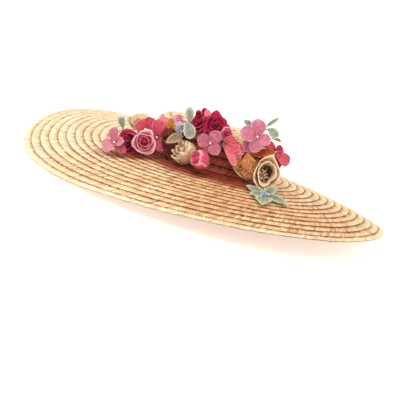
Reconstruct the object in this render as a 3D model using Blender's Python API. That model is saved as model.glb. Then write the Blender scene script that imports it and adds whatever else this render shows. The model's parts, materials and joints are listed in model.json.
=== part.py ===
"""Wide straw picture hat with a low crown and a spray of silk flowers across its front.

The straw is one spiral of sewn braid, so brim and crown are built as lapped rows. Each flower,
leaf and berry bunch is its own piece on a wired stem that ends on the straw. Metres, +Z up.
The viewer stands at -Y. Flower places are measured from the hat's axis and the mean rim plane.
"""

import math
from collections import namedtuple

import bmesh
import bpy
from mathutils import Matrix, Vector

MM = 0.001

# Straw
BRIM_RADIUS = 260 * MM
HEAD_RADIUS = 89 * MM
WALL = 1.6 * MM
LAP = 1.3 * MM
ROW_PITCH = 11.3 * MM
RIM_ROW = 9.6 * MM
BRIM_RISE = 14.7 * MM
EDGE_TURN = 18.3 * MM
BRIM_SIDES = 56
CROWN_SIDES = 36

# The brim's long waves, as a share of the squared radius, and the small lean that levels it
Wave = namedtuple("Wave", "count height peak_deg")
BRIM_WAVES = (
    Wave(count=2, height=16.2 * MM, peak_deg=-41.6),
    Wave(count=3, height=5.0 * MM, peak_deg=13.0),
)
LEAN_SLOPE = 0.0044
LEAN_PEAK_DEG = 48.0

# Crown
CROWN_TOP = 77 * MM
CROWN_RADIUS = 90 * MM
SHOULDER = 14 * MM
TIP_DOME = 4 * MM
FOOT_RADIUS = 97 * MM
FOOT_WALL_RADIUS = 92.5 * MM
TIP_FLAT_RADIUS = 30 * MM

# Flowers
GAP = 0.4 * MM
PETAL = 1.2 * MM
STEM_RADIUS = 1.1 * MM
STEM_SIDES = 5
LOBE_STEPS = 22
FLORET_HEART = 3.4 * MM
FACING_VIEWER = (0, -0.82, 0.57)
FACING_UP = (-0.1, -0.3, 0.95)

Petal = namedtuple("Petal", "turn_deg length width lift_deg")
Floret = namedtuple("Floret", "name spot yaw pitch root petals colour")
Rose = namedtuple("Rose", "name spot yaw pitch radius depth squash form lobes ruffle root colour")
Leaf = namedtuple("Leaf", "name root base tip width bow fold teeth colour")
Root = namedtuple("Root", "place x second")
Station = namedtuple("Station", "radius height ruffle")
Section = namedtuple("Section", "along width")

STRAW = (0.83, 0.60, 0.36)
PINK = (0.86, 0.36, 0.45)
CORAL = (0.75, 0.20, 0.27)
BURGUNDY = (0.30, 0.01, 0.07)
ROSE_PINK = (0.80, 0.12, 0.32)
CREAM = (0.80, 0.64, 0.42)
TAUPE = (0.62, 0.42, 0.24)
SILVER = (0.55, 0.58, 0.48)
SAGE = (0.45, 0.55, 0.38)
OCHRE = (0.62, 0.32, 0.06)
ORANGE = (0.60, 0.12, 0.02)
COPPER = (0.60, 0.30, 0.14)
LILAC = (0.70, 0.36, 0.55)
BERRY = (0.55, 0.62, 0.74)

# Rose forms from the calyx out over the rim and in to the heart, as shares of radius and depth
OPEN_CUP = (
    Station(0.12, -0.62, 0.0), Station(0.66, -0.45, 0.2), Station(0.95, 0.05, 0.7),
    Station(1.00, 0.38, 1.0), Station(0.88, 0.36, 1.0), Station(0.66, 0.02, 0.5),
    Station(0.40, -0.16, 0.2), Station(0.20, -0.08, 0.0),
)
SPIRAL_CUP = (
    Station(0.12, -0.60, 0.0), Station(0.72, -0.34, 0.3), Station(1.00, 0.14, 1.0),
    Station(0.90, 0.30, 1.0), Station(0.66, 0.18, 0.6), Station(0.56, 0.38, 0.6),
    Station(0.28, 0.30, 0.3), Station(0.14, 0.40, 0.0),
)
CLOSED_CUP = (
    Station(0.14, -0.62, 0.0), Station(0.74, -0.40, 0.3), Station(1.00, 0.00, 0.8),
    Station(0.90, 0.34, 1.0), Station(0.62, 0.48, 1.0), Station(0.46, 0.36, 0.6),
    Station(0.22, 0.46, 0.2),
)
RUFFLED = (
    Station(0.12, -0.50, 0.0), Station(0.70, -0.20, 0.6), Station(1.00, 0.12, 1.0),
    Station(0.86, 0.24, 1.0), Station(0.66, 0.10, 0.8), Station(0.52, 0.36, 1.0),
    Station(0.28, 0.22, 0.6), Station(0.12, 0.36, 0.0),
)

# Leaf outline from the end of its stalk to its tip
BLADE = (
    Section(0.00, 0.12), Section(0.18, 0.62), Section(0.40, 0.96), Section(0.62, 0.92),
    Section(0.84, 0.55), Section(1.00, 0.08),
)


def on_brim(x, y):
    """Root that stands on the brim, or on the crown's top where x and y lie inside it."""
    return Root("top", x * MM, y * MM)


def on_wall(x, z):
    """Root on the front of the crown's wall, at a distance across and a height."""
    return Root("wall", x * MM, z * MM)


def spot(x, y, z):
    """Point of the hat from millimetres."""
    return Vector((x * MM, y * MM, z * MM))


FLORETS = (
    Floret("floret_left", spot(-126.7, -113, 30.5), -22, 24, on_brim(-121, -100), (
        Petal(111, 20.5, 14, 18), Petal(231, 18, 19, 8), Petal(20, 15, 13, 20),
        Petal(-20, 21, 13, -2)), PINK),
    Floret("coral_floret_left", spot(-95.7, -80, 53.5), -14, 30, on_brim(-90, -68), (
        Petal(166, 16, 17, 14), Petal(72, 19, 18, 16), Petal(10, 14, 13, 8),
        Petal(118, 17, 15, 2)), CORAL),
    Floret("coral_floret_inner", spot(-78, -90, 49.5), 12, 18, on_brim(-74, -79), (
        Petal(98, 25, 18, 12), Petal(-47, 20, 14, 6), Petal(158, 14, 13, 10)), CORAL),
    Floret("lilac_floret", spot(-58.5, -79, 78), -10, 40, on_brim(-56, -50), (
        Petal(60, 9, 9, 16), Petal(180, 10, 10, 12), Petal(-60, 10, 10, 10)), LILAC),
    Floret("floret_middle", spot(-8.4, -111, 66.6), 4, 20, on_wall(-8, 58), (
        Petal(178, 18, 18, 14), Petal(67, 20, 17, 16), Petal(-39, 18, 16, 8),
        Petal(256, 13, 13, 6)), PINK),
    Floret("coral_floret_right", spot(8, -105, 70.5), 16, 12, on_wall(22, 56), (
        Petal(-12, 30, 21, 12), Petal(35, 18, 14, 14), Petal(-45, 33, 10.5, 14)), CORAL),
    Floret("floret_right", spot(47.9, -87, 89.6), 10, 28, on_brim(43, -60), (
        Petal(182, 26, 22, 14), Petal(102, 24.5, 21, 18), Petal(-9, 19, 17, 12),
        Petal(267, 22, 18, 4)), PINK),
    Floret("magenta_floret", spot(77, -76, 77), 32, 10, on_wall(62, 60), (
        Petal(-27, 28, 17, 8), Petal(38, 12, 14, 14), Petal(-60, 25, 11, 4)), CORAL),
)

ROSES = (
    Rose("burgundy_rose_left", spot(-111.5, -91, 33), -20, 16, 14 * MM, 17 * MM, 0.9, SPIRAL_CUP,
         4, 0.10, on_brim(-107, -78), BURGUNDY),
    Rose("spiral_rose", spot(-92, -108, 41), 6, 14, 14.5 * MM, 20 * MM, 0.96, SPIRAL_CUP,
         5, 0.07, on_brim(-88, -92), ROSE_PINK),
    Rose("cream_rose_back", spot(-109, -54, 58), -10, 62, 14.5 * MM, 18 * MM, 1.0, OPEN_CUP,
         5, 0.08, on_brim(-104, -44), CREAM),
    Rose("cream_rose", spot(-35.2, -106, 44.8), -62, 26, 16.5 * MM, 26 * MM, 1.0, CLOSED_CUP,
         5, 0.10, on_brim(-24, -100), CREAM),
    Rose("rosebud_front", spot(-14.2, -129, 45.4), -60, 8, 13 * MM, 23 * MM, 1.0, CLOSED_CUP,
         3, 0.06, on_brim(-12, -114), ROSE_PINK),
    Rose("burgundy_rose_top_left", spot(-30, -84, 86), -24, 14, 16.5 * MM, 18 * MM, 0.62, RUFFLED,
         4, 0.12, on_brim(-27, -69), BURGUNDY),
    Rose("burgundy_rose_top_right", spot(-9.8, -89, 89.5), 4, 16, 13.8 * MM, 20 * MM, 0.98, RUFFLED,
         5, 0.12, on_brim(-8, -74), BURGUNDY),
    Rose("small_rose", spot(8.8, -98.5, 83), 10, 12, 7.5 * MM, 12 * MM, 1.0, SPIRAL_CUP,
         4, 0.06, on_wall(10, 58), ROSE_PINK),
    Rose("taupe_rose", spot(72.5, -105, 50.8), 8, 10, 21 * MM, 24 * MM, 0.74, OPEN_CUP,
         5, 0.07, on_brim(70, -86), TAUPE),
)

LEAVES = (
    Leaf("leaf_bud_left", on_brim(-127, -74), spot(-124, -85, 46), spot(-131.8, -86, 61),
         10 * MM, 0, 3 * MM, 0, SAGE),
    Leaf("ochre_leaf", on_brim(-66, -76), spot(-62.6, -90, 62), spot(-67.5, -90, 80),
         10.5 * MM, 1 * MM, 1 * MM, 0, OCHRE),
    Leaf("silver_leaf_upper", on_brim(-47, -60), spot(-41.7, -93.3, 81), spot(-48.4, -92, 102),
         11.5 * MM, 1 * MM, 1.5 * MM, 0, SILVER),
    Leaf("silver_leaf_lower", on_brim(-52, -56), spot(-46, -101, 83), spot(-34, -106, 64),
         17 * MM, 2 * MM, 2.5 * MM, 5, SILVER),
    Leaf("grey_leaf", on_wall(-40, 60), spot(-45, -101, 64.3), spot(-63, -107.5, 50.2),
         13 * MM, 2 * MM, 1 * MM, 0, SILVER),
    Leaf("ochre_leaf_small", on_wall(36, 56), spot(36.2, -98.5, 60), spot(33.4, -104.5, 45.5),
         7.5 * MM, 0.5 * MM, 0.8 * MM, 0, OCHRE),
    Leaf("gold_leaf", on_wall(37, 64), spot(42, -95, 66.5), spot(56, -100, 35),
         20 * MM, 1 * MM, 0.6 * MM, 0, COPPER),
    Leaf("tan_leaf", on_wall(24, 46), spot(29, -96, 43.6), spot(55.5, -93, 34),
         9 * MM, 1 * MM, 0.8 * MM, 0, COPPER),
    Leaf("orange_leaf", on_wall(41, 58), spot(45, -87, 63), spot(76, -86, 78.5),
         12 * MM, 1 * MM, 1 * MM, 0, ORANGE),
    Leaf("sage_leaf_left", on_brim(33, -66), spot(37, -76, 100), spot(24.5, -76, 104),
         9 * MM, 1 * MM, 1 * MM, 0, SAGE),
    Leaf("sage_leaf_right", on_brim(51, -54), spot(55.3, -74, 104.5), spot(68.2, -74, 120.6),
         6 * MM, 1 * MM, 0.8 * MM, 0, SAGE),
    Leaf("green_leaf_right", on_brim(57, -48), spot(58, -78, 103.5), spot(73, -77, 97),
         10.5 * MM, 1 * MM, 1 * MM, 0, SAGE),
)

CLUSTER_HEART = spot(77, -141, 29)
CLUSTER_ROOT = on_brim(76, -130)
CLUSTER_LEAVES = (
    Leaf("upper_left", None, CLUSTER_HEART, spot(52, -124, 31), 19 * MM, 1 * MM, 1 * MM, 3, SAGE),
    Leaf("lower", None, CLUSTER_HEART, spot(75, -182, 24.5), 26 * MM, 1 * MM, 1 * MM, 3, SAGE),
    Leaf("right", None, CLUSTER_HEART, spot(110, -149, 27.5), 22 * MM, 2 * MM, 1 * MM, 3, SAGE),
    Leaf("upper_right", None, CLUSTER_HEART, spot(91, -117, 39.5), 18 * MM, 1 * MM, 1 * MM, 3, SAGE),
    Leaf("lower_left", None, CLUSTER_HEART, spot(58, -155, 28.5), 18 * MM, 1 * MM, 1 * MM, 2, SAGE),
)
Bunch = namedtuple("Bunch", "centre ring_radius berry_radius count")
CLUSTER_BERRIES = Bunch(CLUSTER_HEART + spot(-0.5, -3, 2.4), 3.6 * MM, 2.6 * MM, 4)
TOP_BERRIES = Bunch(spot(-50.5, -99, 71.5), 3.4 * MM, 2.4 * MM, 4)
TOP_BERRIES_ROOT = on_brim(-57, -89)


def rim_wave(radius, angle):
    """Height that the brim's waves and its small lean add at a place."""
    share = (radius / BRIM_RADIUS) ** 2
    wave = sum(w.height * math.cos(w.count * (angle - math.radians(w.peak_deg))) for w in BRIM_WAVES)
    return share * wave + LEAN_SLOPE * radius * math.cos(angle - math.radians(LEAN_PEAK_DEG))


def brim_base(radius, angle):
    """Top of the braid where a row tucks under the next one in."""
    share = radius / BRIM_RADIUS
    return BRIM_RISE * (1 - share) + EDGE_TURN * (1 - share ** 4) + rim_wave(radius, angle)


def brim_rows():
    """Outer edges of the brim's rows, from the rim to the head opening."""
    edges = [BRIM_RADIUS, BRIM_RADIUS - RIM_ROW]
    while edges[-1] - 1.5 * ROW_PITCH > HEAD_RADIUS:
        edges.append(edges[-1] - ROW_PITCH)
    return edges + [HEAD_RADIUS]


def brim_top(radius, angle):
    """Top of the brim with the laps: each row rises outward to its lapped outer edge."""
    edges = brim_rows()
    for outer, inner in zip(edges, edges[1:]):
        if radius >= inner:
            return brim_base(radius, angle) + LAP * (radius - inner) / (outer - inner)
    return brim_base(radius, angle)


def crown_curve():
    """Crown's outer line before the laps, from the middle of its tip to its foot, as (r, z)."""
    turn = CROWN_RADIUS - SHOULDER
    edge = CROWN_TOP - TIP_DOME
    points = [(turn * i / 12, CROWN_TOP - TIP_DOME * (i / 12) ** 2) for i in range(12)]
    for i in range(9):
        angle = math.pi / 2 * i / 8
        points.append((turn + SHOULDER * math.sin(angle), edge - SHOULDER + SHOULDER * math.cos(angle)))
    foot = brim_base(FOOT_RADIUS, 0) - rim_wave(FOOT_RADIUS, 0) + LAP + GAP + WALL
    points.append((FOOT_WALL_RADIUS, foot + 2.5 * MM))
    points.append((FOOT_WALL_RADIUS + 1.2 * MM, foot + 0.7 * MM))
    points.append((FOOT_RADIUS, foot))
    return points


def walk(points, distance):
    """Point and outward normal at a distance along a line of (r, z) points."""
    for (r0, z0), (r1, z1) in zip(points, points[1:]):
        length = math.hypot(r1 - r0, z1 - z0)
        if distance <= length or (r1, z1) == points[-1]:
            share = min(distance / length, 1)
            normal = ((z0 - z1) / length, (r1 - r0) / length)
            return (r0 + (r1 - r0) * share, z0 + (z1 - z0) * share), normal
        distance -= length


def crown_wave(z, angle):
    """Brim's wave carried up the crown's wall, fading out at the shoulder."""
    low = 30 * MM
    high = CROWN_TOP - TIP_DOME - SHOULDER
    return rim_wave(FOOT_RADIUS, angle) * min(max((high - z) / (high - low), 0), 1)


def straw_top(x, y):
    """Top of the straw under a point of the brim or of the crown's top."""
    radius, angle = math.hypot(x, y), math.atan2(y, x)
    if radius > FOOT_RADIUS:
        return brim_top(radius, angle)
    return CROWN_TOP - TIP_DOME * (radius / (CROWN_RADIUS - SHOULDER)) ** 2 + LAP


def wall_radius(z):
    """Crown's outer radius at a height of its wall or shoulder, before the laps."""
    line = crown_curve()
    for (r0, z0), (r1, z1) in zip(line, line[1:]):
        if z0 >= z >= z1:
            return r0 + (r1 - r0) * (z0 - z) / (z0 - z1)


def root_point(root):
    """Point just clear of the straw where a stem ends."""
    if root.place == "wall":
        radius = wall_radius(root.second) + LAP + GAP + 2 * STEM_RADIUS
        return Vector((root.x, -math.sqrt(radius ** 2 - root.x ** 2), root.second))
    reach = 1.5 * MM
    around = [straw_top(root.x + dx, root.second + dy) for dx in (-reach, 0, reach)
              for dy in (-reach, 0, reach)]
    return Vector((root.x, root.second, max(around) + GAP + STEM_RADIUS / 2))


def finish(name, colour, roughness):
    """Plain material for a piece."""
    material = bpy.data.materials.new(name + "_finish")
    material.use_nodes = True
    shader = material.node_tree.nodes["Principled BSDF"]
    shader.inputs["Base Color"].default_value = (*colour, 1)
    shader.inputs["Roughness"].default_value = roughness
    shader.inputs["Metallic"].default_value = 0
    return material


def mesh_object(name, build):
    """Object whose mesh the build function fills, with its faces turned outward."""
    work = bmesh.new()
    build(work)
    bmesh.ops.recalc_face_normals(work, faces=work.faces)
    if work.calc_volume(signed=True) < 0:
        bmesh.ops.reverse_faces(work, faces=work.faces)
    mesh = bpy.data.meshes.new(name)
    work.to_mesh(mesh)
    work.free()
    obj = bpy.data.objects.new(name, mesh)
    bpy.context.collection.objects.link(obj)
    return obj


def fuse(name, parts):
    """One closed body from overlapping closed parts, in the first part's own space."""
    body = parts[0]
    for other in parts[1:]:
        union = body.modifiers.new("fuse", "BOOLEAN")
        union.operation = "UNION"
        union.object = other
    scene_view = bpy.context.evaluated_depsgraph_get()
    scene_view.update()
    mesh = bpy.data.meshes.new_from_object(body.evaluated_get(scene_view))
    for part in parts:
        bpy.data.objects.remove(part)
    obj = bpy.data.objects.new(name, mesh)
    bpy.context.collection.objects.link(obj)
    return obj


def dress(obj, colour, roughness, seat):
    """Shade a piece smooth, give it its material and parent it to the hat's seat."""
    obj.data.shade_smooth()
    obj.data.set_sharp_from_angle(angle=math.radians(38))
    obj.data.materials.clear()
    obj.data.materials.append(finish(obj.name, colour, roughness))
    obj.parent = seat


def loft(work, rings, cap_first, cap_last, close_loop=False):
    """Skin between rings with equal counts of points, with flat caps or closed on itself."""
    made = [[work.verts.new(point) for point in ring] for ring in rings]
    pairs = list(zip(made, made[1:]))
    if close_loop:
        pairs.append((made[-1], made[0]))
    for low, high in pairs:
        for i in range(len(low)):
            j = (i + 1) % len(low)
            work.faces.new((low[i], low[j], high[j], high[i]))
    if cap_first:
        work.faces.new(made[0])
    if cap_last:
        work.faces.new(made[-1])


def turned_ring(radius, height_at, sides):
    """Ring of points round the axis, whose height is a function of the angle."""
    angles = [2 * math.pi * i / sides for i in range(sides)]
    return [Vector((radius * math.cos(a), radius * math.sin(a), height_at(a))) for a in angles]


def build_brim():
    """Saucer brim: lapped rows above, one smooth wall below, open at the head."""
    edges = brim_rows()
    rings = []
    for outer, inner in zip(edges, edges[1:]):
        rings.append(turned_ring(outer, lambda a, r=outer: brim_base(r, a) + LAP, BRIM_SIDES))
        rings.append(turned_ring(inner, lambda a, r=inner: brim_base(r, a), BRIM_SIDES))
    for radius in edges[::-3]:
        rings.append(turned_ring(radius, lambda a, r=radius: brim_base(r, a) - WALL, BRIM_SIDES))
    return mesh_object("brim", lambda work: loft(work, rings, False, False, close_loop=True))


def build_crown():
    """Low crown: lapped rows outside, plain inside with a flat tip, foot lapping over the brim."""
    line = crown_curve()
    total = sum(math.hypot(b[0] - a[0], b[1] - a[1]) for a, b in zip(line, line[1:]))
    stops = [total]
    while stops[-1] > 1.5 * ROW_PITCH:
        stops.append(stops[-1] - ROW_PITCH)

    def lapped(distance, lap):
        (r, z), (nr, nz) = walk(line, distance)
        r, z = r + nr * lap, z + nz * lap
        return turned_ring(r, lambda a: z + crown_wave(z, a), CROWN_SIDES)

    foot_inner = FOOT_WALL_RADIUS - WALL
    rings = [
        turned_ring(foot_inner, lambda a: brim_top(foot_inner, a) + GAP, CROWN_SIDES),
        turned_ring(FOOT_RADIUS, lambda a: brim_top(FOOT_RADIUS, a) + GAP, CROWN_SIDES),
    ]
    for outer, inner in zip(stops, stops[1:]):
        rings += [lapped(outer, LAP), lapped(inner, 0)]
    rings.append(lapped(stops[-1], LAP))
    tip_inside = CROWN_TOP - TIP_DOME * (TIP_FLAT_RADIUS / (CROWN_RADIUS - SHOULDER)) ** 2 - WALL
    edge = CROWN_TOP - TIP_DOME
    inside = [(CROWN_RADIUS - WALL, edge - SHOULDER)]
    for turn_deg in (30, 60, 90):
        turn = math.radians(turn_deg)
        reach = SHOULDER - WALL
        inside.append((CROWN_RADIUS - SHOULDER + reach * math.cos(turn),
                       edge - SHOULDER + reach * math.sin(turn)))
    inside.append((TIP_FLAT_RADIUS, tip_inside))
    inner_rings = [turned_ring(r, lambda a, h=z: h, CROWN_SIDES) for r, z in inside]

    def build(work):
        loft(work, inner_rings[::-1] + rings, True, True)

    return mesh_object("crown", build)


def aimed(place, yaw_deg, pitch_deg):
    """Frame of a flower: +Z out of its face, +Y up. Yaw 0 faces the viewer, plus turns right."""
    yaw, pitch = math.radians(yaw_deg), math.radians(pitch_deg)
    face = Vector((math.sin(yaw) * math.cos(pitch), -math.cos(yaw) * math.cos(pitch), math.sin(pitch)))
    up = (Vector((0, 0, 1)) - face * face.z).normalized()
    side = up.cross(face)
    frame = Matrix((side, up, face)).transposed().to_4x4()
    frame.translation = place
    return frame


def stem_between(start, end, radius):
    """Thin round stem from one point to another, slightly wider at its start."""
    axis = (end - start).normalized()
    side = axis.orthogonal().normalized()
    other = axis.cross(side)
    rings = []
    for point, size in ((start, radius * 1.5), (end, radius)):
        turns = [2 * math.pi * i / STEM_SIDES for i in range(STEM_SIDES)]
        rings.append([point + (side * math.cos(t) + other * math.sin(t)) * size for t in turns])
    return mesh_object("stem", lambda work: loft(work, rings, True, True))


def petal_reach(petal, turn):
    """Distance to a petal's edge, an ellipse that starts at the flower's middle."""
    off = turn - math.radians(petal.turn_deg)
    if math.cos(off) <= 0:
        return 0
    half, ratio = petal.length * MM / 2, petal.length / petal.width
    return 2 * half * math.cos(off) / (math.cos(off) ** 2 + (ratio * math.sin(off)) ** 2)


def build_floret(row, seat):
    """Hydrangea floret: petals in one thin lobed plate with a raised heart, on its stem."""
    turns = [2 * math.pi * i / LOBE_STEPS for i in range(LOBE_STEPS)]
    edge = []
    for turn in turns:
        petal = max(row.petals, key=lambda p: petal_reach(p, turn))
        edge.append((max(petal_reach(petal, turn), FLORET_HEART), math.tan(math.radians(petal.lift_deg))))

    def ring(rise):
        return [Vector((math.cos(t) * r, math.sin(t) * r, r * lift + rise))
                for t, (r, lift) in zip(turns, edge)]

    heart = [Vector((math.cos(t) * FLORET_HEART * 0.6, math.sin(t) * FLORET_HEART * 0.6, PETAL))
             for t in turns]
    under = [Vector((v.x, v.y, -PETAL)) for v in heart]
    rings = [heart, ring(PETAL / 2), ring(-PETAL / 2), under]
    plate = mesh_object("plate", lambda work: loft(work, rings, True, True))
    frame = aimed(row.spot, row.yaw, row.pitch)
    end = frame.inverted() @ root_point(row.root)
    stem = stem_between(Vector((0, 0, -0.2 * MM)), end, STEM_RADIUS)
    floret = fuse(row.name, [plate, stem])
    floret.matrix_local = frame
    dress(floret, row.colour, 0.7, seat)


def build_rose(row, seat):
    """Rose: turned cup whose rings wave with its petals, on its stem."""
    sides = row.lobes * 3
    rings = []
    for index, station in enumerate(row.form):
        ring = []
        for i in range(sides):
            turn = 2 * math.pi * i / sides
            wave = row.ruffle * station.ruffle * math.cos(row.lobes * turn + index * 1.1)
            radius = station.radius * row.radius * (1 + wave)
            rise = station.height * row.depth + wave * row.depth * 0.4
            ring.append(Vector((radius * math.cos(turn) * row.squash, radius * math.sin(turn), rise)))
        rings.append(ring)
    cup = mesh_object("cup", lambda work: loft(work, rings, True, True))
    frame = aimed(row.spot, row.yaw, row.pitch)
    start = Vector((0, 0, row.form[0].height * row.depth + 1 * MM))
    stem = stem_between(start, frame.inverted() @ root_point(row.root), STEM_RADIUS)
    rose = fuse(row.name, [cup, stem])
    rose.matrix_local = frame
    dress(rose, row.colour, 0.75, seat)


def blade_sections(teeth):
    """Leaf sections, with notches between teeth where the leaf has them."""
    if not teeth:
        return BLADE
    sections = []
    for i in range(2 * teeth + 1):
        along = i / (2 * teeth)
        width = math.sin(math.pi * min(along * 0.92 + 0.05, 1)) ** 0.7
        sections.append(Section(along, max(width * (1 if i % 2 else 0.78), 0.08)))
    return sections


def leaf_rings(row, start, facing):
    """Rings of a leaf from its stalk's start, or from its base, to its tip."""
    run = row.tip - row.base
    axis = run.normalized()
    toward = Vector(facing)
    side = axis.cross(toward).normalized()
    face = side.cross(axis).normalized()
    half = PETAL / 2

    def ring(centre, width, fold, thick, left, up):
        return [centre - left * width + up * thick, centre + up * (thick - fold),
                centre + left * width + up * thick, centre + left * width - up * thick,
                centre - up * (thick + fold), centre - left * width - up * thick]

    rings = []
    if start is not None:
        stalk = (row.base - start).normalized()
        left = stalk.cross(toward).normalized()
        rings.append(ring(start, 0.9 * MM, 0, 0.9 * MM, left, left.cross(stalk)))
    for section in blade_sections(row.teeth):
        bow = face * row.bow * math.sin(math.pi * section.along)
        fold = row.fold * section.width
        rings.append(ring(row.base + run * section.along + bow, section.width * row.width / 2,
                          fold, half, side, face))
    return rings


def build_leaf(row, seat):
    """Leaf folded along its midrib, with its stalk down to the straw."""
    rings = leaf_rings(row, root_point(row.root), FACING_VIEWER)
    leaf = mesh_object(row.name, lambda work: loft(work, rings, True, True))
    dress(leaf, row.colour, 0.8, seat)


def berry_parts(bunch):
    """Round berries in a ring that overlaps one in the middle."""
    parts = []
    for i in range(bunch.count + 1):
        place = Vector(bunch.centre)
        if i < bunch.count:
            turn = 2 * math.pi * i / bunch.count
            place += Vector((math.cos(turn), -0.3, math.sin(turn))) * bunch.ring_radius

        def build(work, centre=place):
            bmesh.ops.create_icosphere(work, subdivisions=1, radius=bunch.berry_radius,
                                       matrix=Matrix.Translation(centre))

        parts.append(mesh_object("berry", build))
    return parts[-1:] + parts[:-1]


def build_berries(seat):
    """Bunch of berries at the top of the spray, on one stem."""
    berries = berry_parts(TOP_BERRIES)
    stem = stem_between(Vector(TOP_BERRIES.centre), root_point(TOP_BERRIES_ROOT), STEM_RADIUS)
    dress(fuse("berries_top", berries + [stem]), BERRY, 0.5, seat)


def build_cluster(seat):
    """Serrated leaves round a bunch of berries, lying low on the brim."""
    parts = []
    for row in CLUSTER_LEAVES:
        rings = leaf_rings(row, None, FACING_UP)
        parts.append(mesh_object(row.name, lambda work, skin=rings: loft(work, skin, True, True)))
    stem = stem_between(CLUSTER_HEART + spot(0, 0, 1), root_point(CLUSTER_ROOT), STEM_RADIUS)
    cluster = fuse("leaf_cluster", berry_parts(CLUSTER_BERRIES) + parts + [stem])
    dress(cluster, SAGE, 0.8, seat)


def main():
    """Clear the scene and build the hat on a seat that puts its lowest rim point at zero."""
    for obj in list(bpy.data.objects):
        bpy.data.objects.remove(obj)
    seat = bpy.data.objects.new("hat_seat", None)
    bpy.context.collection.objects.link(seat)
    brim = build_brim()
    dress(brim, STRAW, 0.8, seat)
    dress(build_crown(), STRAW, 0.8, seat)
    for row in FLORETS:
        build_floret(row, seat)
    for row in ROSES:
        build_rose(row, seat)
    for row in LEAVES:
        build_leaf(row, seat)
    build_berries(seat)
    build_cluster(seat)
    seat.location.z = -min(vertex.co.z for vertex in brim.data.vertices)


main()
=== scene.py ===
"""Looks of a wide straw picture hat with a spray of silk flowers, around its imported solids.

The straw is plaited braid laid in lapped rows. Every flower, leaf and berry bunch stands where
its solid stands, on a taped wire that ends on the straw. Metres, +Z up, viewer at -Y.
"""

import json
import logging
import math
from dataclasses import dataclass, field
from enum import Enum
from typing import Callable, Iterable, Sequence

import bpy
import numpy as np
from mathutils import Matrix, Vector


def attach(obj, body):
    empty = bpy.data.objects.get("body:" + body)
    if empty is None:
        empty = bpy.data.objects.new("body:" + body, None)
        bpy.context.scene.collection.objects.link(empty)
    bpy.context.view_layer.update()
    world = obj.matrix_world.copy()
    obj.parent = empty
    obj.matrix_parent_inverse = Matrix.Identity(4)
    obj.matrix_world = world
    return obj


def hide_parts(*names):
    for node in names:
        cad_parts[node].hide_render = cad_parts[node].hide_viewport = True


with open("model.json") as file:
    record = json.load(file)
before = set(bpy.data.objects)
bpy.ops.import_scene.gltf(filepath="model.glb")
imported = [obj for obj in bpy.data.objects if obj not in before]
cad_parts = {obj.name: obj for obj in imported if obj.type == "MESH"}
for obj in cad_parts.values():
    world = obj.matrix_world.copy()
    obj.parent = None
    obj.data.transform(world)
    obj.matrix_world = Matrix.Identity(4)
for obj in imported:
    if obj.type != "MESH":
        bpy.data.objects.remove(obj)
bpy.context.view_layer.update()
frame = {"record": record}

MM = 0.001
BODY = "root"
TIP_INSIDE = 74.777 * MM
LIFT = frame["record"]["mounts"][0]["pos_m"][2] - TIP_INSIDE
FACING_VIEWER = Vector((0, -0.82, 0.57))
FACING_UP = Vector((-0.1, -0.3, 0.95))

GOLDEN_TURN = 2.4
LEAF_VEINS = 9.0
LEAF_VEIN_SLANT = 2.6
SILK_THICKNESS = 0.5 * MM
FINE_SILK_THICKNESS = 0.4 * MM
FLOWER_WIRE = 0.85 * MM
LEAF_WIRE = 0.5 * MM
FINE_WIRE = 0.25 * MM
BUNCH_WIRE = 0.7 * MM
STITCH_LIFT = 1.2 * MM

Array = np.ndarray
Colour = tuple[float, float, float]
Row = tuple[Array, Array, dict[str, Array]]
Placed = tuple[Array, Array, Array, Array]
Grid = tuple[Array, Array, Array]
log = logging.getLogger("picture_hat")


def screen(red: int, green: int, blue: int) -> Colour:
    """Linear colour from a screen colour.

    Args:
        red: Red from 0 to 255.
        green: Green from 0 to 255.
        blue: Blue from 0 to 255.

    Returns:
        The colour in linear light, from 0 to 1.
    """
    def straight(level: int) -> float:
        """One channel in linear light."""
        share = level / 255
        return share / 12.92 if share <= 0.04045 else ((share + 0.055) / 1.055) ** 2.4

    return straight(red), straight(green), straight(blue)


def spot(x: float, y: float, z: float) -> Vector:
    """Point of the hat from millimetres above the mean rim plane."""
    return Vector((x * MM, y * MM, z * MM + LIFT))


def smooth(value: Array) -> Array:
    """Ease from 0 to 1, clamped at both ends."""
    held = np.clip(value, 0, 1)
    return held * held * (3 - 2 * held)


def between(start: Array, end: Array, count: int) -> Array:
    """Evenly spaced points of the straight line from one place to another."""
    share = np.linspace(0, 1, count)[:, None]
    return start * (1 - share) + end * share


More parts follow.
